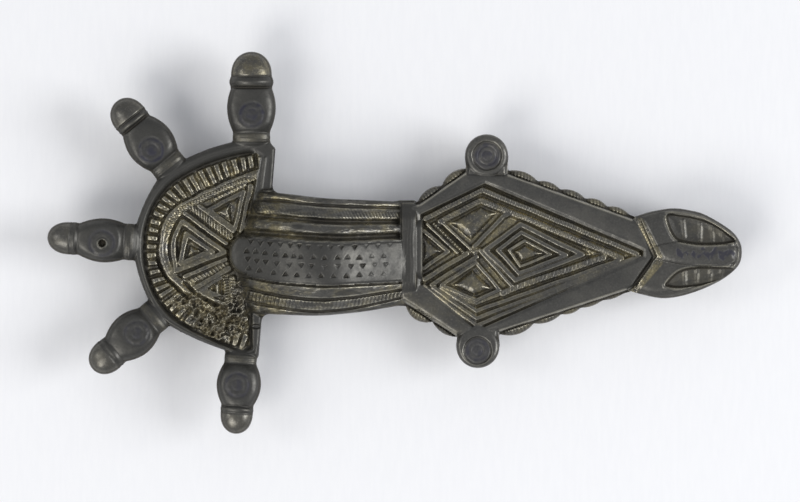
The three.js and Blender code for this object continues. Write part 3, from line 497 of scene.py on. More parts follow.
def terminal_surface(x, y):
    """(height, niello share)"""
    d = np.maximum(-poly_sd(x, y, TERMINAL), 0)
    # a crowned shield: rounded at the rim, nearly flat over the middle
    q = np.clip(d / 1.7, 0, 1)
    z = TERMINAL_TOP - 1.5 * (1 - np.sqrt(np.clip(1 - (1 - q) ** 2, 0, 1))) + 0.12
    # rim line that follows the outline, out towards the tip
    tip = smooth(37.5, 40.0, x)
    z -= 0.16 * tip * np.exp(-((d - 0.78) / 0.12) ** 2)
    z += 0.06 * tip * np.exp(-((d - 0.45) / 0.14) ** 2)
    # snout
    cx, cy = 43.6, -1.5
    u, v = (x - cx) / 6.9, (y - cy + 0.03 * (x - cx)) / 1.75
    e = 1 - u * u - v * v
    z = np.maximum(z, z + 0.62 * np.sqrt(np.clip(e, 0, 1)))
    # leaves
    ribs = np.zeros(x.shape)
    for leaf, lines in ((UPPER_LEAF, [((683, 221), (684.5, 236)), ((700.5, 224), (700, 240)), ((712, 227), (712.5, 240)), ((722, 233), (722, 241))]),
                        (LOWER_LEAF, [((684.5, 270), (685, 283)), ((697.5, 269), (696.5, 281)), ((711, 269), (710, 280)), ((722, 270), (721, 277))])):
        sd = poly_sd(x, y, leaf)
        inn = smooth(0.02, -0.3, sd)
        floor = TERMINAL_TOP - 0.74 - 0.22 * np.clip(-sd / 1.0, 0, 1)
        rel = np.zeros(x.shape)
        for k, (a, b) in enumerate(lines):
            dd, _ = line_coords(x, y, P(a, b))
            rel = np.maximum(rel, (0.19 - 0.02 * k) * np.clip(1 - np.abs(dd) / 0.46, 0, 1) ** 1.2)
        z = lerp(z, np.minimum(z, floor + rel), inn)
        # bright raised lip beside each leaf
        z += 0.1 * np.exp(-((sd - 0.22) / 0.16) ** 2) * smooth(0, 0.6, d)
    # zigzag inlay on the snout
    sx = (x - P((676, 250))[0][0]) / (P((736, 250))[0][0] - P((676, 250))[0][0])
    zig = P((0, 253.6))[0][1] + 0.5 * (np.abs(((sx * 4.5) % 1.0) - 0.5) * 4 - 1) * np.clip(1.1 - 0.3 * sx, 0, 1)
    line = np.clip(1 - np.abs(y - zig + 0.22 * noise(x, y, 0.6, 9)) / 0.72, 0, 1) * smooth(-0.02, 0.03, sx) * smooth(1.02, 0.9, sx)
    niello = smooth(0.04, 0.42, line) * smooth(-0.55, 0.20, fbm(x, y, 0.75, 2) + 0.22)
    z -= 0.05 * niello
    return z, niello


V_UPPER, V_LOWER = P((639.8, 221.5), (658.6, 256.6)), P((659.4, 262.0), (634.5, 291.0))
V_UPPER_CUT, V_LOWER_CUT = P((643.6, 220.5), (662.8, 257.8)), P((655.6, 259.6), (629.6, 289.5))


def v_bands(z, x, y):
    """The two hatched ridges, and the cut beside each, where the foot meets the animal head."""
    for line, cut in ((V_UPPER, V_UPPER_CUT), (V_LOWER, V_LOWER_CUT)):
        dd, s = line_coords(x, y, line)
        z = np.where(np.abs(dd) < 1.0, np.maximum(z, FOOT_TOP - 0.10 - 0.25 * smooth(0.7, 1.0, np.abs(dd))), z)
        q = np.clip(1 - np.abs(dd) / 0.58, 0, 1)
        hatch = 0.5 + 0.5 * np.sin(2 * np.pi * (s + 0.9 * dd) / 0.42)
        z = np.where(q > 0, smax(z, FOOT_TOP - 0.12 + 0.40 * np.sin(q * np.pi / 2) ** 0.8 - 0.13 * hatch * q, 0.12), z)
        dd, s = line_coords(x, y, cut)
        z = z - 0.15 * np.clip(1 - np.abs(dd) / 0.17, 0, 1) ** 0.8
    return z




def bow_arc(x):
    return np.sin(np.pi * np.clip((x - BOW_X0) / (BOW_X1 - BOW_X0), 0, 1))


def bow_top(x):
    return BOW_Z0 + BOW_RISE * bow_arc(x) ** 1.2


def dip(f, at, wide, deep):
    return -deep * np.exp(-((f - at) / wide) ** 2)


def punch_marks():
    rows = []
    first = [251, 260.5, 270.5, 281, 291, 300, 309, 321, 331, 341.5, 355, 366, 378, 390]
    second = [247, 256, 265.5, 276, 286, 294.5, 301.5, 314, 325, 338, 347.5, 359.5, 372, 384]
    third = [248, 257, 266, 277, 290, 302, 312, 325, 338, 351, 363, 375, 386]
    fourth = [249, 259.7, 274, 286, 297.5, 309.5, 321.5, 334, 346.5, 359.5, 371.5, 384]
    for xs, f, up in ((first, 0.125, -1), (second, 0.335, 1), (third, 0.575, -1), (fourth, 0.765, 1)):
        for k, a in enumerate(xs):
            X = (a - 394.5) * PX
            Y = lerp(float(read(BAND_UP, X)), float(read(BAND_LO, X)), f)
            j = TABLES[3][(k * 11 + int(f * 40)) & 255, 7]
            fade = 1.0 if a < 366 else 0.45
            rows.append((X, Y + 0.07 * j, up, (0.8 + 0.3 * TABLES[4][(k * 5 + int(f * 60)) & 255, 9]) * fade))
    return rows


def bow_surface(x, y):
    """(height, share that is the plain middle band, depth of the punch marks, place across the upper flank, place
    across the lower flank)
    """
    top, arc = bow_top(x), bow_arc(x)
    bu, bl, uu, ll = read(BAND_UP, x), read(BAND_LO, x), read(UPPER_Y, x), read(LOWER_Y, x)
    fu, fl = (y - bu) / (uu - bu), (bl - y) / (bl - ll)
    f = np.clip(np.maximum(fu, fl), 0, 1.05)
    base = top - 0.35 - (1.2 + 2.3 * arc) * f ** 1.35
    # upper flank: wide groove, plain ridge, groove, beaded ridge, groove, rim
    pitch = 0.48
    bead = 0.5 + 0.5 * np.sin(2 * np.pi * (x + 0.55 * (y - uu)) / pitch)
    grow = 0.35 + 0.65 * smooth(-9.0, -4.5, x) + 0.35 * smooth(-15.5, -18.5, x)
    u = dip(fu, 0.115, 0.070, 1.02) + dip(fu, 0.475, 0.060, 0.86) + dip(fu, 0.83, 0.035, 0.52) + 0.10 * np.exp(-((fu - 0.32) / 0.09) ** 2)
    u = u - 0.22 * bead * grow * np.exp(-((fu - 0.66) / 0.10) ** 4) + 0.08 * np.exp(-((fu - 0.66) / 0.12) ** 2)
    # lower flank
    w = np.sin(np.pi * np.clip((x + 20.8) / 21.6, 0, 1))
    g1, g2 = 0.33 + 0.14 * w, 0.68 + 0.18 * w
    bead2 = 0.5 + 0.5 * np.sin(2 * np.pi * (x - 0.25 * (y - ll)) / 0.56)
    grow2 = 0.45 + 0.55 * np.maximum(smooth(-7.5, -5.0, x), smooth(-13.5, -17.5, x))
    l = dip(fl, 0.015, 0.035, 0.5) + dip(fl, g1, 0.045, 0.62) + dip(fl, g2, 0.04, 0.5)
    l = l - 0.21 * bead2 * grow2 * np.exp(-((fl - (g1 + g2) / 2) / ((g2 - g1) * 0.36)) ** 4) + 0.08 * np.exp(-((fl - 0.17) / 0.11) ** 2)
    # the left end carries pitted, broken beading
    z = base + np.where(fu > 0, u, 0) + np.where(fl > 0, l, 0)
    z = z + 0.055 * fbm(x * 0.42, y * 1.5, 0.50, 6) * (1 + 0.8 * smooth(-12, -18, x)) + 0.05 * noise(x * 0.5, y, 1.3, 8)
    # soft outer edge
    edge = np.minimum(uu - y, y - ll)
    z -= 0.45 * (1 - np.sqrt(np.clip(1 - (1 - np.clip(edge / 0.45, 0, 1)) ** 2, 0, 1)))
    # it rises out of the head plate at its left end
    lean = x - np.interp(y, [-11, -9.0, -6, -2, 2, 5, 8], [-20.2, -21.6, -22.3, -22.2, -21.6, -20.6, -19.9])
    z = lerp(6.2, z, smooth(-0.9, 1.5, lean) ** 0.8)
    # band
    inside = np.minimum(bu - y, y - bl)
    ex, ey = (x + 21.2) / 2.6, (y + 1.6) / 3.0
    end = np.where(x < -21.2, (1 - np.hypot(ex, ey)) * 2.6, 9.0)
    b = np.minimum(inside, end)
    crown = np.clip((y - (bu + bl) / 2) / ((bu - bl) / 2), -1, 1)
    band = top + 0.05 - 0.30 * np.abs(crown) ** 2.4 - 0.35 * (1 - smooth(0.0, 0.42, b))
    z = np.where(b > 0, np.maximum(z, band), z)
    inband = smooth(0.0, 0.25, b)
    marks = np.zeros(x.shape)
    for X, Y, up, deep in punch_marks():
        i = np.nonzero((np.abs(x - X) < 0.6) & (np.abs(y - Y) < 0.5))[0]
        px, py = (x[i] - X) / 0.49, (y[i] - Y) * up / 0.39
        # an isosceles triangle, deepest near its base
        e = np.minimum(np.minimum(py + 1.0, (1 - py - 2.0 * px) * 0.5), (1 - py + 2.0 * px) * 0.5)
        pit = smooth(-0.05, 0.40, e) * (1.0 - 0.30 * np.clip(py, -1, 1))
        marks[i] = np.maximum(marks[i], deep * pit)
        z[i] += 0.055 * smooth(-12.5, -15.5, X) * np.exp(-((e + 0.13) / 0.11) ** 2) * (py > -0.8)
    z -= 0.25 * marks
    return z, inband, marks, fu, fl


def top_surface(x, y):
    """Height of the face at each point, and what the surface is there."""
    n = x.shape
    z = np.full(n, -9.0)
    gilt_and_sheen, niello, rough, polish = np.zeros(n), np.zeros(n), np.zeros(n), np.zeros(n)
    # foot plate
    m = np.nonzero((x > 0.3) & (x < 38.2) & (y > -14.2) & (y < 11.5))[0]
    xs, ys = x[m], y[m]
    sd = poly_sd(xs, ys, FOOT_OUTLINE)
    top_sd = poly_sd(xs, ys, FOOT_EDGE)
    d = np.maximum(-top_sd, 0)
    fs = poly_sd(xs, ys, FOOT_FIELD)
    plain = FOOT_TOP - 0.75 * (1 - np.sqrt(np.clip(1 - (1 - np.clip(d / 0.75, 0, 1)) ** 2, 0, 1))) - 0.9 * smooth(0.0, 0.12, top_sd)
    plain += 0.15 * np.sin(np.pi * np.clip(d / 2.8, 0, 1)) - 0.22 * smooth(0.55, 0.0, fs)
    f = smooth(0.03, -0.2, fs)
    rel, shine = foot_relief(xs, ys)
    rel = rel * (0.93 + 0.10 * noise(xs, ys, 2.2, 1)) + 0.03 * fbm(xs, ys, 0.42, 2)
    s = lerp(plain, FOOT_FLOOR + 0.36 + 0.66 * rel - 0.12 * np.exp(-((fs + 0.12) / 0.12) ** 2), f)
    z[m] = np.where(sd < 0.06, s, -9)
    gilt_and_sheen[m] = np.maximum(gilt_and_sheen[m], f * smooth(1.15, 0.35, rel))
    # painted highlight: a little gilt colour lightens the plain border at the lower left
    gilt_and_sheen[m] = np.maximum(gilt_and_sheen[m], 0.13 * (1 - f) * smooth(13.0, 8.0, xs) * smooth(-5.0, -8.0, ys))
    # gilding, heavier over the left part of the field where it is also painted highlight, with painted highlight on the
    # plateau tops and beads
    gilt_and_sheen[m] = np.maximum(gilt_and_sheen[m], f * np.maximum(0.52 * smooth(15.0, 9.0, xs), shine))
    polish[m] = np.maximum(polish[m], 0.25 * (1 - f))
    # lobes
    for c in LOBES:
        mx, my = c[0] + c[3] * (c[2] - 0.8), c[1] + c[4] * (c[2] - 0.8)
        i = np.nonzero((np.abs(x - mx) < 3.0) & (np.abs(y - my) < 3.0))[0]
        ux, uy = x[i] - c[0], y[i] - c[1]
        r = np.hypot(ux, uy)
        inn = c[2] - r                                  # depth inside the scalloped edge
        out_ = ux * c[3] + uy * c[4]
        across = (-ux * c[4] + uy * c[3]) / (c[5] / 2)
        h = 5.5 + 1.35 * np.sqrt(np.clip(1 - (1 - np.clip(inn / 1.25, 0, 1)) ** 2, 0, 1)) * np.sqrt(np.clip(1 - across ** 4, 0.0, 1))
        h -= (0.15 * (0.5 + 0.5 * np.sin(2 * np.pi * across * c[5] / 2 / 0.50 + 3 * inn)) - 0.05 * noise(x[i], y[i], 0.45, 6)) * smooth(0.1, 0.4, inn)
        h = np.where((inn > -0.08) & (out_ > c[2] - 1.6) & (np.abs(across) < 1.03), h, -9)
        edge = np.maximum(poly_sd(x[i], y[i], FOOT_EDGE), 0)
        h = np.where(h > -5, h - 0.55 * np.exp(-(edge / 0.16) ** 2), h)
        lift = h > z[i]
        z[i] = np.where(lift, h, z[i])
        gilt_and_sheen[i] = np.where(lift, 0.42, gilt_and_sheen[i])
    # head plate
    m = np.nonzero((x > -38.4) & (x < -16.4) & (y > -17.2) & (y < 15.3))[0]
    xs, ys = x[m], y[m]
    sd = poly_sd(xs, ys, head_outline)
    d = np.maximum(-sd, 0)
    fs = poly_sd(xs, ys, HEAD_FIELD)
    flat = HEAD_TOP - 0.55 * (1 - np.sqrt(np.clip(1 - (1 - np.clip(d / 0.55, 0, 1)) ** 2, 0, 1))) - 0.10 * smooth(0.6, 0.0, fs)
    # a rolled rim that falls away towards the field
    u = d / np.maximum(d + np.maximum(fs, 0), 1e-3)
    low_side = smooth(-2.0, -7.0, ys)
    roll = 6.45 + 0.95 * np.sin(np.pi * np.clip(0.12 + 0.98 * u, 0, 1)) ** 0.62
    roll -= 0.5 * (1 - np.sqrt(np.clip(1 - (1 - np.clip(d / 0.45, 0, 1)) ** 2, 0, 1)))
    roll -= 0.15 * np.exp(-((u - 0.44) / 0.06) ** 2) * (0.35 + 0.9 * low_side)
    strip = smooth(-20.9, -20.0, xs) * smooth(-15.2, -14.2, ys)
    rim = lerp(roll, flat, strip)
    f = smooth(0.02, -0.2, fs)
    rel, bad = head_relief(xs, ys)
    rel = rel * (0.95 + 0.12 * noise(xs, ys, 1.8, 4)) + 0.055 * fbm(xs, ys, 0.42, 1)
    s = lerp(rim, HEAD_FLOOR + 0.32 + 0.70 * rel - 0.1 * np.exp(-((fs + 0.15) / 0.12) ** 2) * (1 - bad), f)
    # lines on the flat strip
    for a, b, w, h in (((265.3, 158), (261.3, 191), 0.22, 0.16), ((259.5, 158), (249.5, 213.5), 0.34, 0.3), ((270, 158), (268, 186), 0.5, -0.08)):
        dd, _ = line_coords(xs, ys, P(a, b))
        s += h * np.clip(1 - np.abs(dd) / w, 0, 1)
    c = P((256, 326.5))[0]
    rr = np.hypot((xs - c[0]) / 0.85, (ys - c[1]) / 0.42)
    s -= 0.35 * smooth(1.05, 0.5, rr)
    s += (1 - f) * bad * 0.24 * fbm(xs, ys, 0.7, 5, 3)
    z[m] = np.maximum(z[m], np.where(sd < 0.06, s, -9))
    gilt_and_sheen[m] = np.maximum(gilt_and_sheen[m], f * np.maximum(smooth(1.25, 0.4, rel), 0.42))
    polish[m] = np.maximum(polish[m], (1 - f) * lerp(1.0, 0.95, strip))
    rough[m] = np.maximum(rough[m], bad * f)
    # bow
    m = np.nonzero((x > -24.5) & (x < 3.2) & (y > -11.2) & (y < 8.2))[0]
    xs, ys = x[m], y[m]
    b, inband, marks, fu, fl = bow_surface(xs, ys)
    sd = bow_sd(np.maximum(xs, -21.8), ys)
    ok = (sd < 0.35) | ((xs < -21) & (inband > 0)) | ((xs < -20) & (xs > -23.0) & (ys < 3) & (ys > -10.3))
    b = np.where(ok, b, -9)
    lift = smooth(-0.25, 0.25, b - z[m])
    z[m] = np.where(b < -5, z[m], np.where(z[m] < -5, b, smax(z[m], b, 0.35)))
    groove = np.clip(np.exp(-((fu - 0.475) / 0.10) ** 2) * (0.4 + 0.6 * smooth(-8, -3, xs)) + 0.55 * np.exp(-((fu - 0.12) / 0.09) ** 2)
                     + 0.8 * np.exp(-((fu - 0.83) / 0.08) ** 2) * smooth(-9, -2, xs) + 0.6 * smooth(-13, -19, xs) * smooth(0.02, 0.2, np.maximum(fu, fl))
                     + 0.45 * np.exp(-((fl - 0.06) / 0.05) ** 2), 0, 1)
    flank = smooth(0.02, 0.12, np.maximum(fu, fl)) * smooth(-0.35, 0.45, fbm(xs * 0.5, ys * 1.6, 1.2, 9)) * (0.35 + 0.45 * smooth(-12, -18, xs) + 0.3 * smooth(-6, 0, xs))
    groove = np.maximum(groove, np.clip(flank, 0, 1) * smooth(1.0, 0.9, np.maximum(fu, fl)))
    gilt_and_sheen[m] = lerp(gilt_and_sheen[m], groove * (1 - inband), lift)
    dark = smooth(0.05, 0.5, fbm(xs * 0.4, ys * 1.6, 0.9, 12)) * smooth(0.02, 0.12, np.maximum(fu, fl))
    gilt_and_sheen[m] *= 1 - 0.7 * dark * lift
    polish[m] = np.maximum(polish[m], 0.9 * dark * lift)
    polish[m] = np.maximum(polish[m], 0.75 * lift * inband)
    rough[m] *= 1 - 0.7 * lift
    # bar across the root of the foot
    m = np.nonzero((x > 0.6) & (x < 4.3) & (y > -8.4) & (y < 6.1))[0]
    xs, ys = x[m], y[m]
    u = np.clip((xs - 0.85) / 2.25, 0, 1)
    top = 8.75 - 0.16 * u ** 2 - 0.35 * (1 - smooth(0.0, 0.35, xs - 0.85)) - 0.12 * (1 - smooth(0.0, 0.60, 3.1 - xs))
    pits = smooth(0.05, 0.75, fbm(xs * 2.2, ys * 0.7, 1.0, 3)) * smooth(-3.5, -1.0, -np.abs(ys + 1.6) + 1.2) * smooth(2.2, 1.3, xs)
    top += -0.14 * pits - 0.012 * (1 + np.sin(2 * np.pi * (xs + 0.14 * noise(xs, ys, 1.8, 2)) / 0.47)) * smooth(0, 0.2, u) * smooth(1, 0.8, u)
    ends = np.minimum(ys + 8.0, 5.75 - ys)
    top -= 1.25 * (1 - smooth(0, 2.6, ends)) ** 1.2
    bar = np.where((xs > 0.8) & (xs < 3.15) & (ends > -0.1), top, -9)
    low = 8.36 - 0.12 * np.clip((xs - 3.2) / 0.8, 0, 1) ** 2 - 1.5 * (1 - smooth(0, 2.4, np.minimum(ys + 6.3, 4.5 - ys)))
    low = np.where((xs > 2.9) & (xs < 4.02) & (ys > -6.3) & (ys < 4.5), low, -9)
    lift = bar > z[m]
    z[m] = np.where(bar > -5, smax(z[m], bar, 0.25), z[m])
    z[m] = np.where(low > -5, smax(z[m], low, 0.15), z[m])
    lift = lift | ((low > -5) & (z[m] < low + 0.1))
    gilt_and_sheen[m] = np.where(lift, 0.0, gilt_and_sheen[m])
    polish[m] = np.maximum(polish[m], np.where(lift, 1.0, 0))
    rough[m] = np.maximum(rough[m], np.where(lift, 0.08, 0))
    # roundels and their necks
    for j, c in enumerate(ROUNDELS):
        nk = part_sd(f"neck{j}", x, y)
        i = np.nonzero(nk < 0.06)[0]
        nd = np.maximum(-nk[i], 0)
        z[i] = smax(z[i], FOOT_TOP - 0.15 - 0.5 * (1 - smooth(0, 0.6, nd)), 0.2)
        i = np.nonzero(np.hypot(x - c[0], y - c[1]) < ROUNDEL_R + 0.08)[0]
        r = np.hypot(x[i] - c[0], y[i] - c[1])
        e = np.clip((ROUNDEL_R - r) / 0.75, 0, 1)
        eye = ((487.2 - 394.5) * PX, (243 - 155.8) * PX) if j == 0 else ((477.6 - 394.5) * PX, (243 - 350.5) * PX)
        r = np.maximum(np.hypot(x[i] - eye[0], y[i] - eye[1]) + 0.04 * noise(x[i], y[i], 0.5, 3), 0)
        h = 7.85 - 0.75 * (1 - np.sqrt(np.clip(1 - (1 - e) ** 2, 0, 1)))
        inner, outer = (1.95, 2.15) if j == 0 else (1.85, 2.05)
        h -= 0.22 * smooth(outer + 0.12, inner - 0.05, r)
        h -= 0.10 * np.exp(-((r - inner) / 0.11) ** 2)
        h -= (0.11 if j == 0 else 0.05) * np.exp(-((r - 1.32) / 0.10) ** 2)
        h -= 0.07 * np.exp(-((r - 0.72) / 0.12) ** 2) - 0.04 * np.exp(-(r / 0.3) ** 2)
        lift = h > z[i] - 0.15
        z[i] = np.where(z[i] < -5, h, np.maximum(h, np.where(r < 2.6, h, z[i])))
        tint = 0.9 * smooth(inner + 0.1, inner - 0.3, r) * (0.5 + 0.5 * smooth(-0.4, 0.4, noise(x[i], y[i], 0.7, 1)))
        niello[i] = np.maximum(niello[i], tint * (1 - 0.6 * np.exp(-((r - 0.98) / 0.16) ** 2)))
        gilt_and_sheen[i] *= 1 - lift
    # terminal
    m = np.nonzero((x > 33.6) & (x < 50.2) & (y > -8.3) & (y < 5.4))[0]
    xs, ys = x[m], y[m]
    t, nie = terminal_surface(xs, ys)
    sd = poly_sd(xs, ys, TERMINAL)
    fs = np.maximum(-poly_sd(xs, ys, FOOT_OUTLINE), 0)
    v1, _ = line_coords(xs, ys, P((634, 205), (643.6, 220.5), (662.8, 258.6), (633, 292.5), (622, 302)))
    leaf = np.minimum(poly_sd(xs, ys, UPPER_LEAF), poly_sd(xs, ys, LOWER_LEAF))
    t = np.where(sd < 0.06, t, -9)
    old = z[m]
    # the foot plate runs under the V, the animal head starts beyond it
    own = smooth(-0.05, 0.12, v1)
    joined = np.where(t < -5, old, np.where(old < -5, t, lerp(old, t, own)))
    z[m] = np.where(joined > -5, v_bands(joined, xs, ys), joined)
    v2 = np.minimum(np.abs(line_coords(xs, ys, V_LOWER)[0]), np.abs(line_coords(xs, ys, V_UPPER)[0]))
    gilt_and_sheen[m] = np.where(v1 > 0.1, 0.12 * smooth(0.1, -0.35, leaf), gilt_and_sheen[m])
    polish[m] = np.maximum(polish[m], np.where(v1 > 0.1, 0.6 * smooth(0.0, -0.3, leaf), 0))
    gilt_and_sheen[m] = np.maximum(gilt_and_sheen[m], smooth(0.6, 0.4, v2) * np.where(ys > -2.5, 0.8, 1.0))
    niello[m] = np.maximum(niello[m], nie * (sd < -0.3))
    # knobs
    for k in KNOBS:
        t, sc = knob_local(k, x, y)
        i = np.nonzero((t > -1.6) & (t < k["L"] + 0.1) & (np.abs(sc) < 4.3))[0]
        t, sc, xs, ys = t[i], sc[i], x[i], y[i]
        L, wear = k["L"], k["wear"]
        w = sum(knob_half(k, np.clip(t + o, -2, L)) for o in (-0.16, 0, 0.16)) / 3
        w = np.where(t > 0.8 * L, knob_half(k, np.clip(t, 0, L)), w)
        q = 1 - (sc / np.maximum(w, 1e-3)) ** 2
        low = 0.60 + 0.40 * smooth(0.10 * L, 0.24 * L, t)
        h = KNOB_Z + KNOB_FLAT * low * w * np.sqrt(np.clip(q, 0, 1))
        # the ground-flat oval on the body
        g0, g1 = k.get("g0", 0.655) * L, k.get("g1", 0.74) * L
        cap = KNOB_Z + KNOB_FACET + 0.15 * wear + 3.0 * smooth(g0 - 0.1, g0 + 0.3, t) + 3.0 * smooth(0.125 * L + 0.2, 0.125 * L - 0.2, t)
        h = smin(h, cap + 0.02 * (sc / 2.5) ** 2, k.get("soft", 0.4))
        # grooves either side of the ring, and beside the collar
        ring = k.get("ring_deep", 1 - 0.65 * wear)
        h -= 0.32 * ring * np.exp(-((t - g0) / 0.17) ** 2)
        h -= 0.20 * ring * np.exp(-((t - g1) / 0.14) ** 2)
        h += 0.10 * ring * np.exp(-((t - (g0 + g1) / 2) / 0.34) ** 2)
        h -= 0.17 * (1 - 0.9 * wear) * np.exp(-((t - 0.125 * L) / 0.20) ** 2)
        h -= 0.022 * (1 + np.sin(2 * np.pi * t / 0.42)) * smooth(0.11 * L, 0.09 * L, t) * (0.5 + 0.5 * noise(xs, ys, 1.2, 4))
        h += 0.05 * noise(xs, ys, 1.6, 6) * smooth(0.0, 0.3, q)
        # ring and dot
        rr = np.hypot(xs - k["eye"][0], ys - k["eye"][1])
        far = np.hypot(xs - k["base"][0], ys - k["base"][1])
        rn = rr + 0.05 * noise(xs, ys, 0.5, 3)
        h -= 0.08 * np.exp(-((rn - 1.74) / 0.22) ** 2) + 0.05 * np.exp(-((rn - 0.84) / 0.20) ** 2)
        h -= 0.025 * smooth(1.9, 1.4, rn) * noise(xs, ys, 0.42, 8)
        tint = 1.0 * np.exp(-((rn - 1.66) / 0.26) ** 2) + 0.75 * smooth(1.05, 0.6, rn) + 0.30 * smooth(2.0, 1.4, rn)
        if k is KNOBS[0]:
            h -= 0.75 * smooth(0.53, 0.36, rr) - 0.10 * np.exp(-((rr - 0.66) / 0.12) ** 2)
            tint = 0.75 * np.exp(-((rr - 1.75) / 0.3) ** 2)
            rough[i] = np.maximum(rough[i], 0.9 * smooth(0.5, 0.35, rr))
        tint = tint * (0.40 + 0.60 * smooth(-0.5, 0.3, noise(xs, ys, 0.6, 5)))
        sd = knob_sd(k, xs, ys)
        h = np.where(sd < 0.08, h, -9)
        # the base sinks into the rim
        h -= 1.3 * smooth(0.9, -1.5, t) ** 1.1 + 9 * smooth(-1.2, -1.6, t)
        lift = h > z[i]
        old = z[i]
        z[i] = np.where(h < -5, old, np.where(old < -5, h, smax(old, h, 0.22)))
        niello[i] = np.where(lift, tint * (1 - 0.5 * wear), niello[i])
        pale = 0.42 if k is KNOBS[2] else 0.10
        gilt_and_sheen[i] = np.where(lift & (t > 0.3), np.maximum(0.12 * smooth(0.13 * L, 0.09 * L, t), pale * smooth(g1, g1 + 0.4, t)), gilt_and_sheen[i])
        rough[i] = np.where(lift & (t > 0.3) & (rr > 0.6), 0, rough[i])
        polish[i] = np.where(lift & (t > 0.3), 0.85 * smooth(g1 + 0.3, g1 - 0.2, t), polish[i])
    return z, gilt_and_sheen, niello, rough, polish


def bow_under(x, y):
    top, arc = bow_top(x), bow_arc(x)
    bu, bl, uu, ll = read(BAND_UP, x), read(BAND_LO, x), read(UPPER_Y, x), read(LOWER_Y, x)
    f = np.clip(np.maximum((y - bu) / (uu - bu), (bl - y) / (bl - ll)), 0, 1)
    base = top - 0.35 - (1.2 + 2.3 * arc) * f ** 1.35
    z = base - lerp(BOW_THICK, BOW_THICK - 0.45, f) + 0.1
    edge = np.minimum(uu - y, y - ll)
    return np.maximum(z + 0.3 * (1 - smooth(0, 0.4, edge)), BACK_Z + 0.3)


def bottom_surface(x, y):
    z = np.full(x.shape, 30.0)
    for name in PARTS:
        b = BOXES[name]
        m = np.nonzero((x > b[0] - 0.6) & (x < b[1] + 0.6) & (y > b[2] - 0.6) & (y < b[3] + 0.6))[0]
        if not len(m):
            continue
        xs, ys = x[m], y[m]
        sd = part_sd(name, xs, ys)
        d = np.maximum(-sd, 0)
        if name == "bow":
            h = bow_under(xs, ys)
        elif name[:4] == "knob":
            k = KNOBS[int(name[4:])]
            t, sc = knob_local(k, xs, ys)
            w = knob_half(k, np.clip(t, -2, k["L"]))
            h = KNOB_Z - KNOB_FLAT * w * np.sqrt(np.clip(1 - (sc / np.maximum(w, 1e-3)) ** 2, 0, 1))
            h = np.maximum(h, BACK_Z - 0.08)
        elif name[:4] == "lobe":
            h = BACK_Z + 0.16 + 0.25 * (1 - smooth(0, 0.5, d))
        elif name == "bar":
            h = BACK_Z + 0.12 + 0.2 * (1 - smooth(0, 0.4, d))
        else:
            h = BACK_Z + 0.32 * (1 - np.sqrt(np.clip(1 - (1 - np.clip(d / 0.35, 0, 1)) ** 2, 0, 1)))
        z[m] = np.where(sd < 0.08, np.minimum(z[m], h), z[m])
    return z + 0.025 * fbm(x, y, 1.6, 4)


# ------------------------------------------------------------------ the casting's mesh
def gradient(x, y):
    e = 0.02
    gx = (silhouette(x + e, y) - silhouette(x - e, y)) / (2 * e)
    gy = (silhouette(x, y + e) - silhouette(x, y - e)) / (2 * e)
    return gx, gy


def to_level(x, y, level, rounds=3, cap=0.12):
    """Points moved on to the line where the outline function has that value."""
    for _ in range(rounds):
        s = silhouette(x, y) - level
        gx, gy = gradient(x, y)
        g2 = np.maximum(gx * gx + gy * gy, 0.05)
        mx, my = -s * gx / g2, -s * gy / g2
        L = np.maximum(np.hypot(mx, my), 1e-9)
        k = np.minimum(1, cap / L)
        x, y = x + mx * k, y + my * k
    return x, y


def boundary_loop(faces):
    """The single outer loop of a plan mesh, counter-clockwise as its faces are."""
    edges = {}
    for f in faces:
        n = len(f)
        for i in range(n):
            a, b = f[i], f[(i + 1) % n]
            if (b, a) in edges:
                del edges[(b, a)]
            else:
                edges[(a, b)] = True
    nxt = {}
    for a, b in edges:
        nxt.setdefault(a, []).append(b)
    loops = []
    used = set()
    for a, b in list(edges):
        if (a, b) in used:
            continue
        loop, p, q = [a], a, b
        used.add((a, b))
        while q != loop[0]:
            loop.append(q)
            opts = [c for c in nxt[q] if (q, c) not in used]
            if not opts:
                break
            used.add((q, opts[0]))
            p, q = q, opts[0]
        loops.append(loop)
    loops.sort(key=len, reverse=True)
    return loops


H = 0.1
INSET = 0.22


def plan_mesh():
    gx = np.arange(-50.2, 50.2 + H / 2, H)
    gy = np.arange(-27.8, 27.9 + H / 2, H)
    X, Y = np.meshgrid(gx, gy)
    S = silhouette(X.ravel(), Y.ravel()).reshape(X.shape)
    Gy, Gx = np.gradient(S, H)
    D = (S + INSET) / np.maximum(np.hypot(Gx, Gy), 0.3)
    snap = np.abs(D) < 0.52 * H
    idx = np.nonzero(snap.ravel())[0]
    xf, yf = X.ravel().copy(), Y.ravel().copy()
    xf[idx], yf[idx] = to_level(xf[idx], yf[idx], -INSET, 3, 0.7 * H)
    ok = (D < 0) | snap
    deep = (D < -0.1 * H) & ~snap
    ny, nx = X.shape
    o = ok
    c00, c10, c01, c11 = o[:-1, :-1], o[:-1, 1:], o[1:, :-1], o[1:, 1:]
    d00, d10, d01, d11 = deep[:-1, :-1], deep[:-1, 1:], deep[1:, :-1], deep[1:, 1:]
    anyd = d00 | d10 | d01 | d11
    number = np.arange(ny * nx).reshape(ny, nx)
    n00, n10, n01, n11 = number[:-1, :-1], number[:-1, 1:], number[1:, :-1], number[1:, 1:]
    full = c00 & c10 & c01 & c11 & anyd
    quads = np.stack([n00[full], n10[full], n11[full], n01[full]], 1)
    tris = []
    for miss, keep in (((c00), (n10, n11, n01)), ((c10), (n11, n01, n00)), ((c11), (n01, n00, n10)), ((c01), (n00, n10, n11))):
        count = c00.astype(int) + c10 + c01 + c11
        m = (count == 3) & ~miss & anyd
        tris.append(np.stack([k[m] for k in keep], 1))
    tris = np.concatenate(tris)
    return xf, yf, quads, tris


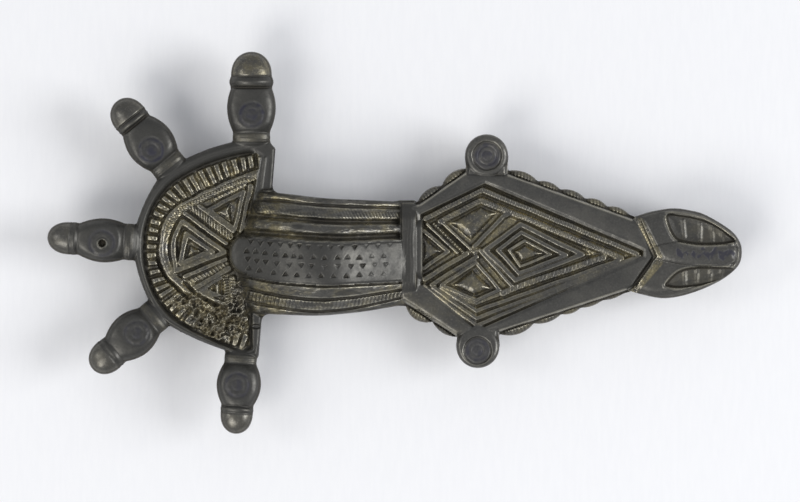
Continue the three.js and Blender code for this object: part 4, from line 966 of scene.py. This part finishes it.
xf, yf, quads, tris = plan_mesh()
faces = [tuple(q) for q in quads.tolist()] + [tuple(t) for t in tris.tolist()]

# keep the one connected sheet, and one clean loop round it
for attempt in range(4):
    loops = boundary_loop(faces)
    main = loops[0]
    stray = set(v for l in loops[1:] for v in l)
    twice = set(v for v in main if main.count(v) > 1) if len(set(main)) != len(main) else set()
    if not stray and not twice:
        break
    drop = stray | twice
    faces = [f for f in faces if not (set(f) & drop)]
main_loop = main
print("sheet", len(faces), "loop", len(main_loop), "other loops", len(loops) - 1)

used = np.unique(np.concatenate([np.array(f) for f in faces]))
remap = -np.ones(len(xf), int)
remap[used] = np.arange(len(used))
vx, vy = xf[used], yf[used]
faces = [tuple(int(remap[v]) for v in f) for f in faces]
loop = np.array([remap[v] for v in main_loop])

# heights on the sheet
z, gilt_and_sheen, niello, rough, polish = top_surface(vx, vy)

# rows that carry the face out to the outline, finer towards it
K = 4
lx, ly = vx[loop], vy[loop]
rows = []
px_, py_ = lx.copy(), ly.copy()
for k in range(1, K + 1):
    level = -INSET * (1 - k / K) ** 2
    px_, py_ = to_level(px_, py_, level, 3, 0.15)
    rows.append((px_.copy(), py_.copy()))
row_data = [top_surface(a, b) for a, b in rows]


def tidy(values, low=-5):
    """Fills the few points that fell off the surface from their neighbours along the loop."""
    v = values.copy()
    bad = v < low
    if bad.any() and (~bad).any():
        i = np.arange(len(v))
        v[bad] = np.interp(i[bad], i[~bad], v[~bad])
    return v


top_rows = [tidy(r[0]) for r in row_data]
if (z < -5).any():
    print("sheet points off the surface:", int((z < -5).sum()))
    good = z > -5
    for i in np.nonzero(~good)[0]:
        j = np.argmin((vx[good] - vx[i]) ** 2 + (vy[good] - vy[i]) ** 2)
        z[i] = z[good][j]

under = [bottom_surface(a, b) for a, b in rows]
edge_top, edge_low = top_rows[-1], np.where(under[-1] > 25, BACK_Z + 0.35, under[-1])


def circular_smooth(v, n):
    k = np.hanning(2 * n + 3)[1:-1]
    k /= k.sum()
    return np.convolve(np.concatenate([v[-n:], v, v[:n]]), k, "valid")


mid = (edge_top + edge_low) / 2
half = np.maximum((edge_top - edge_low) / 2, 0.05)
edge_top, edge_low = circular_smooth(mid + half, 2), circular_smooth(mid - half, 2)
top_rows[-1] = edge_top
for k in range(K - 1):
    top_rows[k] = np.maximum(top_rows[k], edge_top + 0.01 * (K - 1 - k))
WALL = 4
wall = [(rows[-1][0], rows[-1][1], lerp(edge_top, edge_low, j / WALL)) for j in range(1, WALL + 1)]
low_rows = []
for k in (2, 1, 0):
    h = np.where(under[k] > 25, edge_low, under[k])
    low_rows.append((rows[k][0], rows[k][1], np.minimum(h, edge_low)))

nloop = len(loop)
V = [np.stack([vx, vy, z], 1)]
ring_ids = [loop]
count = len(vx)
for (a, b), h in zip(rows, top_rows):
    V.append(np.stack([a, b, h], 1)); ring_ids.append(np.arange(count, count + nloop)); count += nloop
for a, b, h in wall + low_rows:
    V.append(np.stack([a, b, h], 1)); ring_ids.append(np.arange(count, count + nloop)); count += nloop
strips = []
for r0, r1 in zip(ring_ids[:-1], ring_ids[1:]):
    # the loop runs counter-clockwise seen from above, so these face outwards
    strips.append(np.stack([r0, r1, np.roll(r1, -1), np.roll(r0, -1)], 1))
strips = np.concatenate(strips)

# back: a coarser sheet inside the last row
last = ring_ids[-1]
bx_, by_ = low_rows[-1][0], low_rows[-1][1]
keep_idx = []
cell = 0.24
gx = np.arange(-50, 50, cell)
gy = np.arange(-27.6, 27.7, cell)
BX, BY = np.meshgrid(gx, gy)
BX[1::2] += cell / 2
BX, BY = BX.ravel(), BY.ravel()
sd = silhouette(BX, BY)
m = sd < -(INSET + 0.16)
pts = np.stack([BX[m], BY[m]], 1)
# pairs of lines where the back steps up to the bow's underside
steps = []
for (a, b) in (((-17.15, 13.6), (-19.6, -16.5)), ((0.85, -8.0), (0.85, 5.7)), ((-21.9, -10.4), (-21.9, 7.6))):
    L = math.hypot(b[0] - a[0], b[1] - a[1])
    nx_, ny_ = (b[1] - a[1]) / L, -(b[0] - a[0]) / L
    for t in np.arange(0, 1, 0.2 / L):
        X_, Y_ = lerp(a[0], b[0], t), lerp(a[1], b[1], t)
        for o in (-0.07, 0.07):
            steps.append((X_ + nx_ * o, Y_ + ny_ * o))
steps = np.array(steps)
sd = silhouette(steps[:, 0], steps[:, 1])
steps = steps[(sd < -(INSET + 0.1)) & (steps[:, 0] > -21.5)]
gap = np.array([np.min((steps[:, 0] - p[0]) ** 2 + (steps[:, 1] - p[1]) ** 2) if -22 < p[0] < 1.5 else 9 for p in pts])
pts = np.concatenate([pts[gap > 0.015], steps])
ring2d = [Vector((float(a), float(b))) for a, b in zip(bx_, by_)]
inner2d = [Vector((float(a), float(b))) for a, b in pts]
out = delaunay_2d_cdt(ring2d + inner2d, [(i, (i + 1) % nloop) for i in range(nloop)], [], 1, 1e-7)
overts, ofaces, orig = out[0], out[2], out[3]
back_ids = {}
new_pts = []
extra = count
for i, o in enumerate(orig):
    near = [q for q in o if q < nloop]
    if near:
        back_ids[i] = int(last[near[0]])
    else:
        back_ids[i] = extra + len(new_pts)
        new_pts.append((overts[i].x, overts[i].y))
new_pts = np.array(new_pts)
bz = bottom_surface(new_pts[:, 0], new_pts[:, 1])
bz = np.where(bz > 25, BACK_Z + 0.3, bz)
V.append(np.stack([new_pts[:, 0], new_pts[:, 1], bz], 1))
back = []
for f in ofaces:
    ids = [back_ids[i] for i in f]
    if len(set(ids)) == 3:
        back.append(ids[::-1])
V = np.concatenate(V)
print("back faces", len(back), "vertices", len(V))

# what the surface is at each point of the sheet and its edge rows
nv = len(V)
A = np.zeros((nv, 4))
A[: len(vx), 0], A[: len(vx), 1], A[: len(vx), 2], A[: len(vx), 3] = gilt_and_sheen, niello, rough, polish
c = len(vx)
for d in row_data:
    for j in range(4):
        A[c:c + nloop, j] = d[j + 1]
    c += nloop

# overall casting noise: small swells, and a fine tooth where it is rough
fx, fy = V[:, 0], V[:, 1]
face_part = np.zeros(nv)
face_part[: len(vx) + nloop * K] = 1
swell = 0.022 * fbm(fx, fy, 3.2, 0, 2) + 0.010 * fbm(fx, fy, 0.9, 3, 3)
fine = A[:, 0] * 0.030 * fbm(fx, fy, 0.34, 1, 2) + A[:, 2] * 0.05 * fbm(fx, fy, 0.30, 5, 2)
inner = np.ones(nv)
inner[len(vx): len(vx) + nloop * K] = 0.4
V[:, 2] += face_part * inner * (swell + fine)

# cavity: how far each point lies under its surroundings, at two scales
gxn, gyn = int(100.8 / H), int(56.0 / H)
ix = np.clip(((vx + 50.4) / H).round().astype(int), 0, gxn - 1)
iy = np.clip(((vy + 28.0) / H).round().astype(int), 0, gyn - 1)
img, wgt = np.zeros((gyn, gxn)), np.zeros((gyn, gxn))
img[iy, ix] = V[: len(vx), 2]
wgt[iy, ix] = 1


def blur(a, sigma):
    n = int(3 * sigma / H)
    k = np.exp(-0.5 * (np.arange(-n, n + 1) * H / sigma) ** 2)
    k /= k.sum()
    a = np.apply_along_axis(lambda r: np.convolve(r, k, "same"), 0, a)
    return np.apply_along_axis(lambda r: np.convolve(r, k, "same"), 1, a)


def cavity(sigma):
    b = blur(img, sigma) / np.maximum(blur(wgt, sigma), 1e-3)
    return b[iy, ix] - V[: len(vx), 2]


cav_s, cav_l = np.zeros(nv), np.zeros(nv)
cav_s[: len(vx)] = cavity(0.18)
cav_l[: len(vx)] = np.clip(cavity(0.8), -0.3, 1.2)
for r in ring_ids[1:]:
    cav_s[r] = -0.02
    cav_l[r] = -0.1
for k in range(K):
    cav_s[ring_ids[k + 1]] = lerp(cav_s[loop], -0.03, (k + 1) / K)
    cav_l[ring_ids[k + 1]] = lerp(cav_l[loop], -0.12, (k + 1) / K)


def make_mesh(name, verts, polys, normals=None, attrs=None):
    me = bpy.data.meshes.new(name)
    me.from_pydata([tuple(v) for v in (verts * MM)], [], polys)
    me.polygons.foreach_set("use_smooth", np.ones(len(me.polygons), bool))
    if attrs:
        for key, val in attrs.items():
            at = me.attributes.new(key, "FLOAT", "POINT")
            at.data.foreach_set("value", np.ascontiguousarray(val, np.float32))
    me.update()
    if normals is not None:
        me.normals_split_custom_set_from_vertices([tuple(n) for n in normals])
    ob = bpy.data.objects.new(name, me)
    bpy.context.scene.collection.objects.link(ob)
    return ob


all_faces = faces + [tuple(s) for s in strips.tolist()] + [tuple(b) for b in back]
# normals over the whole casting, so that the pieces it is shown in meet without a seam
tri = []
for f in all_faces:
    tri.append(f[:3])
    if len(f) == 4:
        tri.append((f[0], f[2], f[3]))
tri = np.array(tri)
fn = np.cross(V[tri[:, 1]] - V[tri[:, 0]], V[tri[:, 2]] - V[tri[:, 0]])
N = np.zeros_like(V)
for j in range(3):
    np.add.at(N, tri[:, j], fn)
N /= np.maximum(np.linalg.norm(N, axis=1, keepdims=True), 1e-12)

centre = np.array([V[list(f)].mean(0) for f in all_faces])
label = np.where(centre[:, 0] < -16.6, 0, np.where(centre[:, 0] < 0.6, 2, np.where(centre[:, 0] < 36.5, 3, 4)))
for k in KNOBS:
    t, sc = knob_local(k, centre[:, 0], centre[:, 1])
    label[(t > 0.13 * k["L"]) & (np.abs(sc) < 4.6) & (t < k["L"] + 1)] = 1
NAMES = ["head_plate", "knobs", "bow", "foot_plate", "animal_head_terminal"]
casting = []
attr_all = {"gilt_and_sheen": A[:, 0], "niello": A[:, 1], "rough": A[:, 2], "polish": A[:, 3], "cav_s": cav_s, "cav_l": cav_l}
for j, name in enumerate(NAMES):
    sel = [all_faces[i] for i in np.nonzero(label == j)[0]]
    ids = np.unique(np.concatenate([np.array(f) for f in sel]))
    back_map = dict(zip(ids.tolist(), range(len(ids))))
    polys = [tuple(back_map[v] for v in f) for f in sel]
    ob = make_mesh(name, V[ids], polys, N[ids], {k: v[ids] for k, v in attr_all.items()})
    tcount = sum(len(p) - 2 for p in polys)
    print(name, tcount, "triangles")
    casting.append(ob)


# ------------------------------------------------------------------ lugs and catch
def extruded(name, outline, lo, hi, place, hole=None, bevel=0.12, noise_amp=0.02, seed=3):
    """A plate over an outline, its edges rounded, with an optional round hole."""
    pts = [Vector((a, b)) for a, b in outline]
    cuts = [(i, (i + 1) % len(pts)) for i in range(len(pts))]
    loops2 = [list(range(len(pts)))]
    if hole:
        n0 = len(pts)
        hx, hy, hr = hole
        for i in range(24):
            t = -2 * math.pi * i / 24
            pts.append(Vector((hx + hr * math.cos(t), hy + hr * math.sin(t))))
        cuts += [(n0 + i, n0 + (i + 1) % 24) for i in range(24)]
    res = delaunay_2d_cdt(pts, cuts, [], 1 if not hole else 2, 1e-7)
    vs, fs = res[0], res[2]
    if hole:
        fs = [f for f in fs if math.hypot(sum(vs[i].x for i in f) / 3 - hx, sum(vs[i].y for i in f) / 3 - hy) > hr * 0.8]
    n = len(vs)
    verts = [place(v.x, v.y, lo) for v in vs] + [place(v.x, v.y, hi) for v in vs]
    polys = [tuple(i for i in f[::-1]) for f in fs] + [tuple(n + i for i in f) for f in fs]
    edge = {}
    for f in fs:
        for i in range(len(f)):
            a, b = f[i], f[(i + 1) % len(f)]
            if (b, a) in edge:
                edge.pop((b, a))
            else:
                edge[(a, b)] = 1
    for a, b in edge:
        polys.append((a, b, n + b, n + a))
    me = bpy.data.meshes.new(name)
    me.from_pydata([tuple(c * MM for c in v) for v in verts], [], polys)
    me.update()
    ob = bpy.data.objects.new(name, me)
    bpy.context.scene.collection.objects.link(ob)
    bpy.context.view_layer.update()
    m = ob.modifiers.new("edges", "BEVEL")
    m.width = bevel * MM
    m.segments = 3
    m.limit_method = "ANGLE"
    m.angle_limit = math.radians(35)
    r = ob.modifiers.new("remesh", "REMESH")
    r.mode = "VOXEL"
    r.voxel_size = 0.14 * MM
    dg = bpy.context.evaluated_depsgraph_get()
    dg.update()
    new = bpy.data.meshes.new_from_object(ob.evaluated_get(dg))
    ob.modifiers.clear()
    old = ob.data
    ob.data = new
    bpy.data.meshes.remove(old)
    co = np.empty(len(new.vertices) * 3)
    new.vertices.foreach_get("co", co)
    co = co.reshape(-1, 3) / MM
    nn = np.empty(len(new.vertices) * 3)
    new.vertices.foreach_get("normal", nn)
    nn = nn.reshape(-1, 3)
    amp = noise_amp * fbm(co[:, 0] + co[:, 2] * 1.7, co[:, 1] + co[:, 2] * 0.6, 1.1, seed, 3)
    amp = np.where(co[:, 2] < 0.25, 0, amp)
    co = co + nn * np.minimum(amp, 0.0)[:, None]
    co[:, 2] = np.maximum(co[:, 2], 0.0)
    new.vertices.foreach_set("co", (co * MM).ravel())
    new.polygons.foreach_set("use_smooth", np.ones(len(new.polygons), bool))
    for key in attr_all:
        at = new.attributes.new(key, "FLOAT", "POINT")
        at.data.foreach_set("value", np.full(len(new.vertices), 0.0, np.float32))
    new.update()
    return ob


AXLE_X, AXLE_Z = -30.2, 2.35
lugs = []
for i, y0 in enumerate((-9.9, 8.9)):
    lug_outline = [(-3.4, 5.6), (-2.75, 3.2), (-2.0, 1.0), (-1.1, 0.0), (1.1, 0.0), (2.0, 1.0), (2.75, 3.2), (3.4, 5.6)]
    lugs.append(extruded(f"spring_lug_{i + 1}", lug_outline, y0 - 0.65, y0 + 0.65,
                         lambda a, b, c: (AXLE_X + a, c, b), hole=(0, AXLE_Z, 1.0), seed=i))
catch_outline = [(-2.65, 5.2), (-2.65, 0.35), (-2.3, 0.0), (-1.27, 0.0), (-1.27, 0.7), (-1.75, 0.7), (-1.8, 0.8), (-1.8, 2.9), (-1.3, 3.9), (-0.9, 5.2)]
catch = extruded("catch_plate", catch_outline, 12.5, 26.0, lambda a, b, c: (c, a, b), seed=2)


# ------------------------------------------------------------------ bar, coil and pin
def tube(name, centres, radii, sides=20, caps=True):
    """A closed tube along a line of points, its section turned without twist."""
    c = np.array(centres, float)
    t = np.gradient(c, axis=0)
    t /= np.linalg.norm(t, axis=1, keepdims=True)
    up = np.array([0.0, 0.0, 1.0]) if abs(t[0][2]) < 0.9 else np.array([1.0, 0, 0])
    n = up - t[0] * up.dot(t[0])
    n /= np.linalg.norm(n)
    verts, polys = [], []
    for i in range(len(c)):
        n = n - t[i] * n.dot(t[i])
        n /= np.linalg.norm(n)
        b = np.cross(t[i], n)
        for k in range(sides):
            a = 2 * math.pi * k / sides
            verts.append(c[i] + radii[i] * (math.cos(a) * n + math.sin(a) * b))
    for i in range(len(c) - 1):
        for k in range(sides):
            p, q = i * sides + k, i * sides + (k + 1) % sides
            polys.append((p, q, q + sides, p + sides))
    s, e = len(verts), len(verts) + 1
    verts += [c[0], c[-1]]
    m = (len(c) - 1) * sides
    for k in range(sides):
        polys.append((s, (k + 1) % sides, k))
        polys.append((e, m + k, m + (k + 1) % sides))
    return np.array(verts), polys


def wire_object(name, centres, radii, sides=20, amp=0.012):
    v, polys = tube(name, centres, radii, sides)
    c = v.mean(0)
    s = fbm(v[:, 0] + v[:, 2], v[:, 1] * 1.3 + v[:, 2], 0.9, 2, 3)
    # pitting goes inwards only
    near = np.array(centres)
    idx = np.minimum(np.arange(len(v)) // sides, len(near) - 1)
    ax = near[idx]
    d = v - ax
    v = ax + d * (1 - np.clip(s, 0, 1)[:, None] * amp / np.maximum(np.linalg.norm(d, axis=1)[:, None], 0.1))
    attrs = {k: np.zeros(len(v)) for k in attr_all}
    return make_mesh(name, v, polys, None, attrs)


# bar with a ball at each end
prof = [(-13.0, 0.02), (-12.97, 0.45), (-12.85, 0.82), (-12.6, 1.02), (-12.3, 1.09), (-12.0, 1.02), (-11.75, 0.86), (-11.62, 0.72)]
ys = [p[0] for p in prof] + list(np.linspace(-11.5, 10.1, 150)) + [-1.4 - p[0] for p in prof[::-1]]
rs = [p[1] for p in prof] + [0.69] * 150 + [p[1] for p in prof[::-1]]
axle = wire_object("spring_bar", [(AXLE_X, y, AXLE_Z) for y in ys], rs, 28, amp=0.05)

TURNS, PITCH, COIL_R, WIRE_R, PIN_Y, FAR = 5, 1.36, 1.45, 0.545, -1.0, -0.54
CHORD_R = COIL_R + 1.1 + 0.3


def sm(t):
    t = min(1, max(0, t))
    return t * t * (3 - 2 * t)


PIVOT = (-29.05, -1.0, 0.908)
near_side = []
for k in range(0, int(5.25 * 40) + 1):
    gone = k / 40
    a = (0.75 - gone) * 2 * math.pi
    r = lerp(COIL_R, CHORD_R, sm((gone - TURNS + 0.05) / 0.28))
    near_side.append((AXLE_X + r * math.cos(a), PIN_Y - 0.1 - PITCH * gone, AXLE_Z + r * math.sin(a)))
far_side = [(p[0], FAR - p[1], p[2]) for p in near_side][::-1]
last, first = near_side[-1], far_side[0]
chord = []
for t in np.linspace(0.06, 0.94, 60):
    ease = min(1, t / 0.12, (1 - t) / 0.12)
    chord.append((lerp(last[0], first[0], t) - 0.12 * sm(ease), lerp(last[1], first[1], t), lerp(last[2], first[2], t)))
lead = [(lerp(PIVOT[0], AXLE_X, t), lerp(-1.0, -1.1, t * t), lerp(PIVOT[2], AXLE_Z - COIL_R, t)) for t in np.linspace(0, 0.93, 14)]
path = lead + near_side + chord + far_side
path = np.array(path)
for _ in range(6):            # eases the joins
    path[1:-1] = 0.25 * path[:-2] + 0.5 * path[1:-1] + 0.25 * path[2:]


def rounded(path, r, n=6):
    """Half-round ends for a wire."""
    p, q = np.array(path[0]), np.array(path[-1])
    t0, t1 = np.array(path[1]) - p, q - np.array(path[-2])
    t0 /= np.linalg.norm(t0); t1 /= np.linalg.norm(t1)
    a = [(-math.cos(s), math.sin(s)) for s in np.linspace(0.08, math.pi / 2, n)][:-1]
    head = [tuple(p + t0 * r * c) for c, _ in a]
    tail = [tuple(q - t1 * r * c) for c, _ in a[::-1]]
    return head + [tuple(v) for v in path] + tail, [r * s for _, s in a] + [r] * len(path) + [r * s for _, s in a[::-1]]


c_pts, c_r = rounded(path, WIRE_R)
coil = wire_object("spring_coil_wire", c_pts, c_r, 18)

TIP = (30.5, -1.0, 1.75)
n = 170
pin_pts = [tuple(lerp(np.array(PIVOT), np.array(TIP), t)) for t in np.linspace(0, 1, n)]
L = math.hypot(TIP[0] - PIVOT[0], TIP[2] - PIVOT[2])
pin_r = [float(np.interp(t * L, [0, 6, 30, L - 9, L - 3.5, L - 0.5, L], [0.545, 0.545, 0.495, 0.415, 0.295, 0.1, 0.03])) for t in np.linspace(0, 1, n)]
head, head_r = rounded(pin_pts, WIRE_R)
head, head_r = head[:5], head_r[:5]
pin = wire_object("pin_needle", head + pin_pts, head_r + pin_r, 20)

for ob in casting + lugs + [catch]:
    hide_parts("brooch_body")
    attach(ob, "brooch")
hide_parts("spring_axle"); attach(axle, "brooch")
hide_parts("spring_coil"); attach(coil, "brooch")
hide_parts("pin"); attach(pin, "pin")


# ------------------------------------------------------------------ materials
class Nodes:
    def __init__(self, name):
        self.mat = bpy.data.materials.new(name)
        self.mat.use_nodes = True
        self.t = self.mat.node_tree
        self.bsdf = self.t.nodes["Principled BSDF"]
        self.coord = self.t.nodes.new("ShaderNodeTexCoord")

    def link(self, a, b):
        self.t.links.new(a, b)

    def attr(self, name):
        n = self.t.nodes.new("ShaderNodeAttribute")
        n.attribute_name = name
        return n.outputs["Fac"]

    def math(self, op, a, b=None, c=None, clamp=False):
        n = self.t.nodes.new("ShaderNodeMath")
        n.operation = op
        n.use_clamp = clamp
        for i, v in enumerate((a, b, c)):
            if v is None:
                continue
            if hasattr(v, "is_linked"):
                self.link(v, n.inputs[i])
            else:
                n.inputs[i].default_value = v
        return n.outputs[0]

    def noise(self, scale, detail=4.0, rough=0.55, stretch=None, distortion=0.0):
        n = self.t.nodes.new("ShaderNodeTexNoise")
        n.inputs["Scale"].default_value = scale
        n.inputs["Detail"].default_value = detail
        n.inputs["Roughness"].default_value = rough
        n.inputs["Distortion"].default_value = distortion
        if stretch:
            m = self.t.nodes.new("ShaderNodeMapping")
            m.inputs["Scale"].default_value = stretch
            self.link(self.coord.outputs["Object"], m.inputs["Vector"])
            self.link(m.outputs["Vector"], n.inputs["Vector"])
        else:
            self.link(self.coord.outputs["Object"], n.inputs["Vector"])
        return n.outputs["Fac"]

    def ramp(self, v, lo, hi, a=0.0, b=1.0):
        n = self.t.nodes.new("ShaderNodeMapRange")
        n.interpolation_type = "SMOOTHSTEP"
        n.inputs["From Min"].default_value = lo
        n.inputs["From Max"].default_value = hi
        n.inputs["To Min"].default_value = a
        n.inputs["To Max"].default_value = b
        self.link(v, n.inputs["Value"])
        return n.outputs["Result"]

    def mix(self, fac, a, b):
        n = self.t.nodes.new("ShaderNodeMix")
        n.data_type = "RGBA"
        ins = [i for i in n.inputs if i.type == "RGBA"]
        f = [i for i in n.inputs if i.name == "Factor" and i.type == "VALUE"][0]
        if hasattr(fac, "is_linked"):
            self.link(fac, f)
        else:
            f.default_value = fac
        for s, v in zip(ins, (a, b)):
            if hasattr(v, "is_linked"):
                self.link(v, s)
            else:
                s.default_value = (*v, 1.0)
        return [o for o in n.outputs if o.type == "RGBA"][0]

    def bump(self, height, strength, distance, normal=None):
        n = self.t.nodes.new("ShaderNodeBump")
        n.inputs["Strength"].default_value = strength
        n.inputs["Distance"].default_value = distance
        self.link(height, n.inputs["Height"])
        if normal is not None:
            self.link(normal, n.inputs["Normal"])
        return n.outputs["Normal"]


def silver_material():
    s = Nodes("silver_patina")
    gilt_and_sheen, niello, rough, polish = s.attr("gilt_and_sheen"), s.attr("niello"), s.attr("rough"), s.attr("polish")
    cs, cl = s.attr("cav_s"), s.attr("cav_l")
    big = s.noise(240, 3, 0.5)
    mid = s.noise(850, 5, 0.62)
    fine = s.noise(3600, 4, 0.65)
    streak = s.noise(1500, 3, 0.6, stretch=(0.35, 1.6, 1.0))
    # patinated silver: cooler and warmer clouds, with a fine speckle
    base = s.mix(s.ramp(big, 0.35, 0.68), (0.106, 0.103, 0.094), (0.142, 0.137, 0.121))
    base = s.mix(s.ramp(mid, 0.35, 0.72, 0.0, 0.75), base, (0.074, 0.073, 0.070))
    base = s.mix(s.ramp(fine, 0.48, 0.72, 0.0, 0.34), base, (0.20, 0.195, 0.18))
    base = s.mix(s.ramp(fine, 0.46, 0.30, 0.0, 0.35), base, (0.060, 0.059, 0.056))
    base = s.mix(s.math("MULTIPLY", polish, 0.80), base, (0.058, 0.057, 0.053))
    # gilding left in the hollows, olive and broken; the same gilt colour is also painted highlight on plateau tops,
    # beads, the left of the foot field and its lower left border
    g = s.math("MULTIPLY", gilt_and_sheen, s.ramp(s.math("ADD", mid, s.math("MULTIPLY", big, 0.6)), 0.60, 1.05))
    base = s.mix(s.math("MULTIPLY", g, 0.9, clamp=True), base, (0.310, 0.268, 0.150))
    glint = s.math("MULTIPLY", gilt_and_sheen, s.ramp(fine, 0.54, 0.70))
    base = s.mix(s.math("MULTIPLY", glint, 0.55), base, (0.60, 0.53, 0.36))
    # worn crests are brighter metal, and the same brightening is painted highlight along the crests
    worn_crest_and_highlight = s.math("MULTIPLY", s.ramp(cs, -0.025, -0.13), s.ramp(s.math("ADD", mid, s.math("MULTIPLY", fine, 0.4)), 0.45, 0.9, 0.45, 1.0))
    worn_crest_and_highlight = s.math("MULTIPLY", worn_crest_and_highlight, s.math("SUBTRACT", 1.0, s.math("MULTIPLY", polish, 0.7), clamp=True))
    base = s.mix(s.math("MULTIPLY", worn_crest_and_highlight, 0.56), base, (0.50, 0.47, 0.37))
    # dirt in the deepest places, and painted shade in the hollows and narrow grooves
    hollow_dirt_and_shade = s.math("MAXIMUM", s.ramp(cs, 0.035, 0.14), s.ramp(cl, 0.40, 1.0))
    base = s.mix(s.math("MULTIPLY", hollow_dirt_and_shade, 0.80), base, (0.034, 0.029, 0.020))
    # inlay
    base = s.mix(s.math("MULTIPLY", niello, 0.88), base, (0.022, 0.022, 0.034))
    # corrosion
    rust = s.math("MULTIPLY", rough, s.ramp(s.math("ADD", s.math("MULTIPLY", fine, 0.5), mid), 0.55, 0.95))
    base = s.mix(s.math("MULTIPLY", rust, 0.55), base, (0.088, 0.070, 0.044))
    s.link(base, s.bsdf.inputs["Base Color"])
    metal = s.math("SUBTRACT", 0.88, s.math("MULTIPLY", s.math("MAXIMUM", hollow_dirt_and_shade, s.math("MAXIMUM", rust, niello)), 0.5), clamp=True)
    s.link(metal, s.bsdf.inputs["Metallic"])
    ro = s.ramp(mid, 0.3, 0.75, 0.30, 0.44)
    ro = s.math("ADD", ro, s.math("MULTIPLY", hollow_dirt_and_shade, 0.25))
    ro = s.math("ADD", ro, s.math("MULTIPLY", rust, 0.05))
    ro = s.math("ADD", ro, s.math("MULTIPLY", niello, 0.15))
    ro = s.math("ADD", ro, s.math("MULTIPLY", polish, 0.10))
    ro = s.math("SUBTRACT", ro, s.math("MULTIPLY", s.math("MAXIMUM", worn_crest_and_highlight, gilt_and_sheen), 0.11), clamp=True)
    s.link(ro, s.bsdf.inputs["Roughness"])
    n1 = s.bump(mid, 0.5, 0.00006)
    n2 = s.bump(fine, 0.40, 0.00002, n1)
    n3 = s.bump(streak, 0.15, 0.00002, n2)
    s.link(n3, s.bsdf.inputs["Normal"])
    return s.mat


def wire_material(name, dark, light, spot, rough_lo, rough_hi, metallic):
    s = Nodes(name)
    mid, fine, big = s.noise(900, 5, 0.6), s.noise(3600, 3, 0.6), s.noise(260, 3, 0.5)
    base = s.mix(s.ramp(mid, 0.35, 0.7), dark, light)
    base = s.mix(s.ramp(big, 0.5, 0.72, 0.0, 0.7), base, spot)
    s.link(base, s.bsdf.inputs["Base Color"])
    s.link(s.ramp(fine, 0.3, 0.7, rough_lo, rough_hi), s.bsdf.inputs["Roughness"])
    s.bsdf.inputs["Metallic"].default_value = metallic
    s.link(s.bump(fine, 0.35, 0.00002, s.bump(mid, 0.5, 0.00006)), s.bsdf.inputs["Normal"])
    return s.mat


silver = silver_material()
iron = wire_material("iron_rust", (0.035, 0.022, 0.014), (0.13, 0.07, 0.038), (0.06, 0.045, 0.035), 0.6, 0.85, 0.25)
bronze = wire_material("bronze_patina", (0.075, 0.062, 0.035), (0.21, 0.165, 0.085), (0.075, 0.095, 0.06), 0.38, 0.6, 0.7)
for ob in casting + lugs + [catch]:
    ob.data.materials.clear()
    ob.data.materials.append(silver)
for ob, mat in ((axle, iron), (coil, bronze), (pin, bronze)):
    ob.data.materials.clear()
    ob.data.materials.append(mat)
for name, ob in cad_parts.items():
    ob.data.materials.clear()
    ob.data.materials.append({"spring_axle": iron, "spring_coil": bronze, "pin": bronze}.get(name, silver))

# ------------------------------------------------------------------ floor, light and camera
me = bpy.data.meshes.new("paper")
S = 1.6
me.from_pydata([(-S, -S, -0.00002), (S, -S, -0.00002), (S, S, -0.00002), (-S, S, -0.00002)], [], [(0, 1, 2, 3)])
floor = bpy.data.objects.new("paper", me)
bpy.context.scene.collection.objects.link(floor)
p = Nodes("paper_white")
grain = p.noise(900, 3, 0.6, stretch=(1.6, 0.25, 1.0))
cloud = p.noise(16, 2, 0.5)
p.link(p.mix(p.math("MULTIPLY", p.ramp(grain, 0.3, 0.7), 0.5), (0.835, 0.838, 0.85), (0.865, 0.867, 0.875)), p.bsdf.inputs["Base Color"])
p.bsdf.inputs["Roughness"].default_value = 0.9
p.bsdf.inputs["Specular IOR Level"].default_value = 0.15
p.link(p.bump(grain, 0.25, 0.00005), p.bsdf.inputs["Normal"])
me.materials.append(p.mat)


def area(name, loc, target, size, power, colour=(1, 1, 1), size_y=None):
    l = bpy.data.lights.new(name, "AREA")
    l.shape = "RECTANGLE" if size_y else "SQUARE"
    l.size = size
    if size_y:
        l.size_y = size_y
    l.energy = power
    l.color = colour
    o = bpy.data.objects.new(name, l)
    o.location = loc
    o.rotation_mode = "QUATERNION"
    o.rotation_quaternion = (Vector(target) - Vector(loc)).to_track_quat("-Z", "Y")
    bpy.context.scene.collection.objects.link(o)
    return o


def lamp(name, azimuth, elevation, away, size, power, colour):
    a, e = math.radians(azimuth), math.radians(elevation)
    area(name, (away * math.cos(e) * math.cos(a), away * math.cos(e) * math.sin(a), away * math.sin(e)), (0, 0, 0), size, power, colour)


lamp("light_left", 176, 40, 0.80, 0.26, 0.74, (1.0, 0.99, 0.97))
lamp("light_right", -2, 34, 0.80, 0.40, 3.6, (0.98, 0.985, 1.0))
lamp("light_lower_left", 230, 44, 0.85, 0.44, 2.7, (1.0, 0.98, 0.95))
world = bpy.data.worlds.new("world")
world.use_nodes = True
world.node_tree.nodes["Background"].inputs["Color"].default_value = (0.93, 0.95, 1.0, 1)
world.node_tree.nodes["Background"].inputs["Strength"].default_value = 0.535
bpy.context.scene.world = world
bpy.context.scene.view_settings.view_transform = "Standard"

cam_data = bpy.data.cameras.new("camera")
cam_data.sensor_fit = "HORIZONTAL"
cam_data.sensor_width = 36.0
cam_data.lens = 300.0
cam = bpy.data.objects.new("camera", cam_data)
bpy.context.scene.collection.objects.link(cam)
PLANE = 7.5 * MM
dist = (800 * PX * MM) * 300.0 / 36.0
cam.location = ((400 - 394.5) * PX * MM, (243 - 251) * PX * MM, PLANE + dist)
cam.rotation_euler = (0, 0, 0)
cam_data.clip_start, cam_data.clip_end = 0.05, 10
bpy.context.scene.camera = cam
